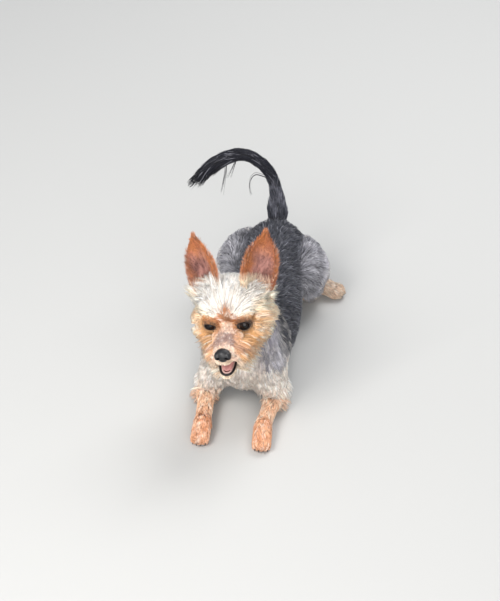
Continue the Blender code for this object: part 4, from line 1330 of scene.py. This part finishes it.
def ear_size(s):
    def size(p, _normal):
        t = ear_share(in_frame(p, ear_frame(s)))
        root = fall(t, 0.1, 0.3)
        length = 0.005 + 0.008 * root + 0.0015 * ramp(t, 0.75, 1.0)
        return sizes_of(len(p), length, 0.0006, 0.0006 + 0.0016 * root, 0.0, 0.0, 0.2)

    return size


def paled(_p, colours, _rng):
    return colours * 0.45 + LIGHT_TAN * 0.55


def build_ear_coat():
    """Short hair over the ear, a fringe on its rim and pale hair at its inner foot."""
    rim_size = even(0.0062, 0.0005, 0.0, 1.0, 0.0, 0.26, 0.0)
    foot_size = even(0.011, 0.0005, 0.001, 0.6, 0.0, 0.15, 0.3)
    for (side, s), seed in zip(SIDES.items(), (110, 115)):
        q = in_frame(SKIN_CENTRES, ear_frame(s))
        here = on("ear_" + side)
        outside = (SKIN_NORMALS @ np.array(ear_frame(s).to_3x3()))[:, 1] > -0.2
        t = ear_share(q)
        across = np.abs(q[:, 0]) / (EAR_HALF_WIDTH * np.interp(t, np.linspace(0, 1, 8), EAR_OUTLINE))
        rim = ramp(across, 0.4, 0.75) + ramp(t, 0.6, 0.85) + 0.6 * fall(t, 0.06, 0.2)
        edge = here * (ramp(across, 0.8, 0.92) + 0.5 * ramp(t, 0.88, 0.94))
        foot = here * ~outside * fall(t, 0.06, 0.24)
        coat(
            "ear_" + side, "ear", "short", 3200, here * np.where(outside, 1.0, 0.3 + rim),
            ear_lie(s, up_and_out), ear_size(s), seed, 2,
        )
        coat(
            "ear_rim_" + side, "ear", "soft", 1600, edge,
            ear_lie(s, off_the_rim), rim_size, seed + 1, 2, 0.0, streaked(0.25, 0.3),
        )
        coat(
            "ear_inside_" + side, "ear", "soft", 500, foot,
            ear_lie(s, over_the_cup), foot_size, seed + 2, 2, 0.0, paled,
        )


# The coat of the neck, trunk and legs

def sideways(p):
    """How far to its side a place lies, from -1 to 1."""
    return np.clip(p[:, 0] / 0.03, -1, 1)


def neck_lie(p, normal):
    """Down in front and at the sides, and back over the nape."""
    nape = np.clip(normal[:, 1] * 1.5, 0, 1)
    return mix(vectors(0.35 * sideways(p), 0.05, -1.0), vectors(0.1 * normal[:, 0], 1.0, -0.45), nape)


def torso_lie(p, normal):
    """Back along the spine, down and back on the flanks, and down on the chest."""
    side = np.clip(np.abs(normal[:, 0]), 0, 1)
    back = vectors(0.25 * normal[:, 0], 1.0, -0.1 - 0.9 * side)
    return mix(back, vectors(0.3 * sideways(p), 0.1, -1.0), fall(p[:, 1], -0.085, -0.055))


def down_and_out(out, back):
    """A lie that falls, spreading from the middle line by out and trailing by back."""
    return lambda p, _normal: vectors(out * sideways(p), back, -1.0)


def along(start, end, down):
    """A lie along a limb, from start to end, that also falls."""
    heading = unit(np.array(end) - np.array(start)) + np.array((0, 0, -down))
    return lambda p, _normal: np.tile(heading, (len(p), 1))


def fringe_lie(s):
    """Down, back and outward from the elbow and the back of the forearm."""
    return lambda p, normal: np.array((0.25 * s, 0.35, -0.9)) + unit(normal) * 0.4


def torso_size(p, _normal):
    chest = fall(p[:, 1], -0.09, -0.06)
    flank = fall(p[:, 2], 0.035, 0.06)
    length = 0.0105 + 0.009 * flank + 0.015 * chest * (1 - 0.6 * flank)
    rise = 0.0034 + 0.004 * chest + 0.001 * flank * (1 - chest)
    droop = 0.05 + 0.1 * chest
    return sizes_of(len(p), length, 0.0008, rise, 0.45 * chest, droop, 0.18 - 0.05 * chest)


def arm_size(p, _normal):
    elbow = fall(p[:, 2], 0.022, 0.045)
    return sizes_of(len(p), 0.021, 0.0009, 0.004, 0.25 + 0.45 * elbow, 0.12, 0.14)


def build_body_coat():
    torso, x, y, z = on("torso"), *SKIN_CENTRES.T
    chest = torso & (y < -0.07) & (SKIN_NORMALS[:, 1] < 0.3)
    back = torso & ~chest & ~(z < 0.006)
    coat(
        "neck", "silver", "soft", 6000, on("neck"), neck_lie,
        even(0.027, 0.0009, 0.0062, 0.3, 0.12, 0.12), 121, 3, 0.045, streaked(0.45, 0.35),
    )
    coat(
        "chest", "cream", "soft", 4600, chest, torso_lie, torso_size, 122, 3, 0.05, streaked(0.55, 0.3)
    )
    for side, half, seed in (("left", x > 0, 123), ("right", x <= 0, 124)):
        coat(
            "back_" + side, "back", "short", 7600, back & half, torso_lie, torso_size,
            seed, 2, 0.3, grizzled(0.12, 0.16),
        )


def leg_coats(s):
    """Each length's slot, material, count, lie, size, clumping, and light and dark streaks."""
    elbow, wrist, tip = (side_point(s, *place) for place in FORELEG[s])
    knee, hock, toe = (hind_point(s, name) for name in ("knee", "hock", "toe"))
    forearm = even(0.011, 0.0008, 0.0026, 0.25, 0.05, 0.16)
    forepaw = even(0.0085, 0.0007, 0.0013, 0.3, 0.08, 0.14, 0.1)
    fringe = even(0.017, 0.0008, 0.002, 0.85, 0.2, 0.15, 0.5)
    thigh = even(0.021, 0.0009, 0.0048, 0.3, 0.08, 0.2)
    shank = even(0.015, 0.0008, 0.0028, 0.3, 0.08, 0.2)
    hindpaw = even(0.011, 0.0007, 0.0018, 0.3, 0.06, 0.18)
    return {
        "arm": ("cream", "soft", 3300, down_and_out(0.2, 0.35), arm_size, 0.06, 0.55, 0.35),
        "elbow": ("cream", "soft", 600, fringe_lie(s), fringe, 0.12, 0.5, 0.4),
        "forearm": ("tan", "short", 2500, along(elbow, wrist, 0.25), forearm, 0.12, 0.45, 0.4),
        "forepaw": ("tan", "short", 2400, along(wrist, tip, 0.25), forepaw, 0.12, 0.4, 0.3),
        "thigh": ("silver", "short", 4400, down_and_out(0.25, 0.9), thigh, 0.1, 0.55, 0.4),
        "shank": ("cream", "short", 1700, along(knee, hock, 0.1), shank, 0.12, 0.5, 0.35),
        "hindpaw": ("cream", "short", 1800, along(hock, toe, 0.15), hindpaw, 0.12, 0.5, 0.35),
    }


LEG_SEEDS = {"arm": 0, "elbow": 6, "forearm": 1, "forepaw": 2, "thigh": 3, "shank": 4, "hindpaw": 5}


def build_leg_coat():
    _, y, z = SKIN_CENTRES.T
    above = (SKIN_NORMALS[:, 2] > -0.75) & (z > 0.0015)
    for (side, s), seed in zip(SIDES.items(), (130, 140)):
        near_elbow = (y > FORELEG[s][0][1] - 0.02) & (z < 0.034) & (z > 0.006)
        for part, (slot, material, count, lie, size, clump, light, dark) in leg_coats(s).items():
            where = on(part + "_" + side) & above
            if part == "elbow":
                where = on("arm_" + side, "forearm_" + side) & near_elbow
            coat(
                part + "_" + side, slot, material, count, where, lie, size, seed + LEG_SEEDS[part],
                3 if material == "soft" else 2, clump, streaked(light, dark),
            )


# The coat of the tail

TAIL_STEPS = 90
TAIL_SAMPLES = np.array(
    [catmull(np.asarray(TAIL_LINE)[:, :3], i / TAIL_STEPS) for i in range(TAIL_STEPS + 1)]
)
TAIL_STRANDS = (
    # a long loose loop below the tail and wisps that hang from it, as x and z in the tail's plane
    (
        (-0.0171, 0.1484), (-0.0239, 0.1501), (-0.0318, 0.15),
        (-0.0375, 0.1428), (-0.0398, 0.1317), (-0.0386, 0.1196),
    ),
    ((-0.064, 0.169), (-0.0647, 0.1524), (-0.0671, 0.1359), (-0.0696, 0.12)),
    ((-0.052, 0.172), (-0.0567, 0.1562), (-0.0625, 0.1392)),
)
TAIL_PLANE_Y = 0.134
STRAND_HAIRS = 5
STRAND_RADIUS = 0.00032


def tail_step(p):
    """The step of the tail's line that lies nearest to each point."""
    return np.argmin(((p[:, None, :] - TAIL_SAMPLES[None, :TAIL_STEPS]) ** 2).sum(2), axis=1)


def tail_lie(p, normal):
    """Along the tail towards its tip, and down from its underside."""
    nearest = tail_step(p)
    heading = unit(TAIL_SAMPLES[nearest + 1] - TAIL_SAMPLES[nearest])
    return heading + np.array((0, 0, -0.45)) * np.maximum(0, 0.3 - normal[:, 2:3])


def tail_size(p, normal):
    t = tail_step(p) / TAIL_STEPS
    foot = fall(t, 0.04, 0.24)
    end = ramp(t, 0.72, 0.95)
    under = ramp(-normal[:, 2], -0.1, 0.5) * ramp(t, 0.35, 0.6) * (1 - end)
    length = 0.016 + 0.012 * ramp(t, 0.15, 0.5) + 0.006 * under - 0.01 * end
    rise = 0.0034 + 0.0015 * under + 0.0026 * foot - 0.002 * end
    free = 0.3 + 0.5 * under - 0.25 * foot + 0.62 * end
    lift = 0.25 + 0.45 * foot - 0.2 * end
    return sizes_of(len(p), length, 0.0009, rise, free, 0.03 + 0.14 * under, 0.17, lift)


def build_tail_strands():
    """Thin bundles of long hairs that hang loose from the tail."""
    rng = np.random.default_rng(155)
    hairs = []
    for strand in TAIL_STRANDS:
        shares = [k / (len(strand) - 1) for k in range(len(strand))]
        for _ in range(STRAND_HAIRS):
            shift = rng.normal(0, 0.0006, 3)
            spread = rng.uniform(0.0, 0.002, 3) * rng.choice((-1, 1), 3)
            points = []
            for k, ((x, z), t) in enumerate(zip(strand, shares)):
                points.append(Vector((x, TAIL_PLANE_Y + 0.0012 * k, z)) + Vector(shift + spread * t**2))
            hairs.append(tube(points, [STRAND_RADIUS * (1 - 0.75 * t) for t in shares], 5))
    piece = join("coat_tail_strands", hairs)
    paint(piece.data, TAIL_BLACK)
    set_bake_map(piece.data, unwrapped([v.co for v in piece.data.vertices]))
    give(piece, MATERIALS["gloss"])


build_head_coat()
build_ear_coat()
build_body_coat()
build_leg_coat()
coat("tail", "tail", "gloss", 4800, on("tail"), tail_lie, tail_size, 150, 4, 0.1, grizzled(0.05, 0.2))
build_tail_strands()


# Eyes, lids, nose, mouth and claws

def build_eye(side, s):
    """An eyeball with its cornea, iris and pupil, looking ahead and slightly out."""
    bm = bmesh.new()
    bmesh.ops.create_uvsphere(bm, u_segments=64, v_segments=48, radius=EYE_RADIUS)
    gaze = Vector((s * 0.16, -1.0, -0.06)).normalized()
    for vertex in bm.verts:
        facing = max(0.0, vertex.co.normalized().dot(gaze))
        vertex.co *= 1 + 0.05 * max(0.0, (facing - 0.86) / 0.14) ** 0.8
    corners = np.array([v.co for v in bm.verts])
    bmesh.ops.transform(bm, matrix=HEAD @ Matrix.Translation(eye_place(s)), verts=bm.verts)
    eye = object_of(bm, "eyeball_" + side)
    angle = np.degrees(np.arccos(np.clip(unit(corners) @ np.array(gaze), -1, 1)))
    colour = mix(EYE_BLACK, IRIS, ramp(angle, 17, 21))
    colour = mix(colour, EYE_BLACK, ramp(angle, 38, 42))
    paint(eye.data, mix(colour, EYE_WHITE, ramp(angle, 45, 50)))
    give(eye, painted_material("eye_" + side, 0.1, 0.0, 0.3))
    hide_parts("eye_" + side)


def build_lid(side, s, made):
    """The thin dark rim round the opening of the lids."""
    count, sides = 48, 8
    reach = EYE_RADIUS + LID_RIM_HEIGHT
    points = []
    for i in range(count):
        angle = 2 * math.pi * i / count
        x = LID_WIDTH[s] * math.cos(angle)
        z = LID_HEIGHT[s] * math.sin(angle)
        points.append(Vector((x, -math.sqrt(max(reach**2 - x**2 - z**2, 4e-6)), z)))
    bm = bmesh.new()
    loops = []
    for i, point in enumerate(points):
        ahead = (points[(i + 1) % count] - points[i - 1]).normalized()
        out = point.normalized()
        across = ahead.cross(out).normalized()
        loop = []
        for k in range(sides):
            turn = 2 * math.pi * k / sides
            swell = out * (LID_RIM_HEIGHT * math.sin(turn)) + across * (LID_RIM_WIDTH * math.cos(turn))
            loop.append(bm.verts.new(point + swell))
        loops.append(loop)
    for i in range(count):
        bridge(bm, loops[i], loops[(i + 1) % count])
    bmesh.ops.transform(bm, matrix=opening_frame(s), verts=bm.verts)
    give(object_of(bm, "lid_rim_" + side), made)


def build_nose(made):
    """Nose leather with its wings, nostrils and the groove below."""
    half = NOSE_WIDTH / 2
    y, z = -0.0372, -0.0142
    forms = [
        blob((0, y, z), (half * 0.92, 0.0062, 0.0058), HEAD),
        blob((0, y - 0.0004, z - 0.0034), (half * 0.6, 0.0052, 0.004), HEAD),
        blob((0, y + 0.001, z + 0.0022), (half * 0.8, 0.0058, 0.004), HEAD),
    ]
    for s in SIDES.values():
        forms.append(blob((s * half * 0.66, y - 0.0012, z - 0.0006), (half * 0.36, 0.005, 0.0044), HEAD))
    nose = melt("nose_leather", forms, 0.00045, 5)
    for s in SIDES.values():
        boolean(nose, blob((s * half * 0.5, y - 0.006, z - 0.0016), (0.0021, 0.004, 0.0015), HEAD))
        boolean(nose, blob((s * half * 0.86, y - 0.0034, z - 0.0022), (0.0022, 0.003, 0.0006), HEAD))
    boolean(nose, blob((0, y - 0.0066, z - 0.005), (0.0004, 0.0018, 0.005), HEAD))
    give(nose, made)
    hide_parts("nose")


def build_mouth(lip):
    """The dark lower lip, its pink lining and the tongue lying between its sides."""
    half = [
        (0.0098, 0.004, -0.029),
        (0.0088, -0.008, -0.0352),
        (0.0074, -0.019, -0.0408),
        (0.0046, -0.025, -0.0436),
    ]
    points = [(-x, y, z) for x, y, z in half] + [(0, -0.0266, -0.0444)] + half[::-1]
    radii = [0.0006, 0.001, 0.0012, 0.0012, 0.0012, 0.0012, 0.0012, 0.001, 0.0006]
    give(tube(points, radii, place=MOUTH_FRAME, name="lower_lip"), lip)
    inner = [(0.78 * x, y + 0.0022, z + 0.001) for x, y, z in points]
    lining = tube(inner, [0.75 * r for r in radii], place=MOUTH_FRAME, name="lip_lining")
    give(lining, wet_material("lip_lining", srgb(196, 162, 154), 0.5, 1800, 0.0001, 0.1))
    stations = (
        (0, 0.008, -0.0256, 0.0048, 0.0028, 0.003),
        (0, -0.006, -0.0322, 0.006, 0.0024, 0.003),
        (0, -0.015, -0.0372, 0.006, 0.002, 0.003),
        (0, -0.0205, -0.0402, 0.0048, 0.0016, 0.002),
        (0, -0.0225, -0.0412, 0.0026, 0.0012, 0.0012),
    )
    tongue = loft(stations, 30, 32, name="tongue_flesh")
    for vertex in tongue.data.vertices:
        x = vertex.co.x
        vertex.co.z -= 0.0012 * math.exp(-((x / 0.0014) ** 2)) + 22 * x**2 * 0.6
    tongue.data.transform(MOUTH_FRAME)
    give(tongue, wet_material("tongue", srgb(196, 138, 134), 0.45, 2600, 0.00015, 0.15))
    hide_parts("tongue")


def build_claws():
    """Short dark claws at the ends of the toes, joined in one piece."""
    claws = []
    for s in SIDES.values():
        for _, ends, heading, _ in (forepaw_plan(s), hindpaw_plan(s)):
            for end in ends:
                base = end - heading * 0.0026 + drop(0.0006)
                middle = base + heading * 0.003 + drop(0.0006)
                tip = base + heading * 0.0046 + drop(0.003)
                tip.z = max(tip.z, 0.0008)
                claws.append(tube([base, middle, tip], [0.0013, 0.0011, 0.0003]))
    give(join("claws", claws), wet_material("claw", srgb(70, 60, 56), 0.4, coat_weight=0.2))


LEATHER = wet_material("nose_leather", srgb(17, 17, 21), 0.4, 1900, 0.00022, 0.15)
LIP = wet_material("lip", srgb(26, 21, 22), 0.5, 1600, 0.00015, 0.1, 0.35)
LID = wet_material("lid", srgb(22, 15, 13), 0.6, 1600, 0.0001, 0.0, 0.2)
for eye_name, eye_side in SIDES.items():
    build_eye(eye_name, eye_side)
    build_lid(eye_name, eye_side, LID)
build_nose(LEATHER)
build_mouth(LIP)
build_claws()


# Stage, light and camera

IMAGE_HEIGHT = 601  # the photograph's long side, in pixels
FOCAL_PIXELS = 1953
SENSOR = 36.0
CAMERA_AZIMUTH = math.radians(12)
CAMERA_ELEVATION = math.radians(38)
CAMERA_DISTANCE = 2.1
CAMERA_TARGET = Vector((-0.009, 0.0, 0.08))
LIGHT_TARGET = Vector((0, 0, 0.08))


def build_stage():
    """A wide pale floor."""
    bm = bmesh.new()
    bmesh.ops.create_grid(bm, x_segments=1, y_segments=1, size=6)
    floor = object_of(bm, "floor")
    floor.data.materials.append(new_material("floor", Base_Color=(0.52, 0.52, 0.51, 1), Roughness=0.9))


def area_light(name, place, size, energy, colour):
    """A soft square light that faces the dog."""
    data = bpy.data.lights.new(name, "AREA")
    data.size = size
    data.energy = energy
    data.color = colour
    light = linked(name, data)
    light.location = place
    light.rotation_euler = (LIGHT_TARGET - Vector(place)).to_track_quat("-Z", "Y").to_euler()


def build_light():
    area_light("key", (-0.7, -1.1, 1.5), 0.8, 25, (1.0, 0.98, 0.95))
    area_light("front", (0.3, -1.6, 0.75), 1.4, 22, (1.0, 0.98, 0.96))
    area_light("back", (0.4, 0.9, 1.5), 0.9, 18, (1, 1, 1))
    world = bpy.data.worlds.new("studio")
    world.use_nodes = True
    world.node_tree.nodes["Background"].inputs["Color"].default_value = (0.92, 0.95, 1.0, 1)
    world.node_tree.nodes["Background"].inputs["Strength"].default_value = 0.5
    bpy.context.scene.world = world
    bpy.context.scene.view_settings.view_transform = "Standard"


def build_camera():
    """The photograph's view: from above, ahead and a little to the dog's left."""
    flat = math.cos(CAMERA_ELEVATION)
    back = Vector(
        (math.sin(CAMERA_AZIMUTH) * flat, -math.cos(CAMERA_AZIMUTH) * flat, math.sin(CAMERA_ELEVATION))
    )
    data = bpy.data.cameras.new("camera")
    data.sensor_width = SENSOR
    data.lens = FOCAL_PIXELS * SENSOR / IMAGE_HEIGHT
    camera = linked("camera", data)
    camera.location = CAMERA_TARGET + back * CAMERA_DISTANCE
    camera.rotation_euler = (-back).to_track_quat("-Z", "Y").to_euler()
    bpy.context.scene.camera = camera


build_stage()
build_light()
build_camera()
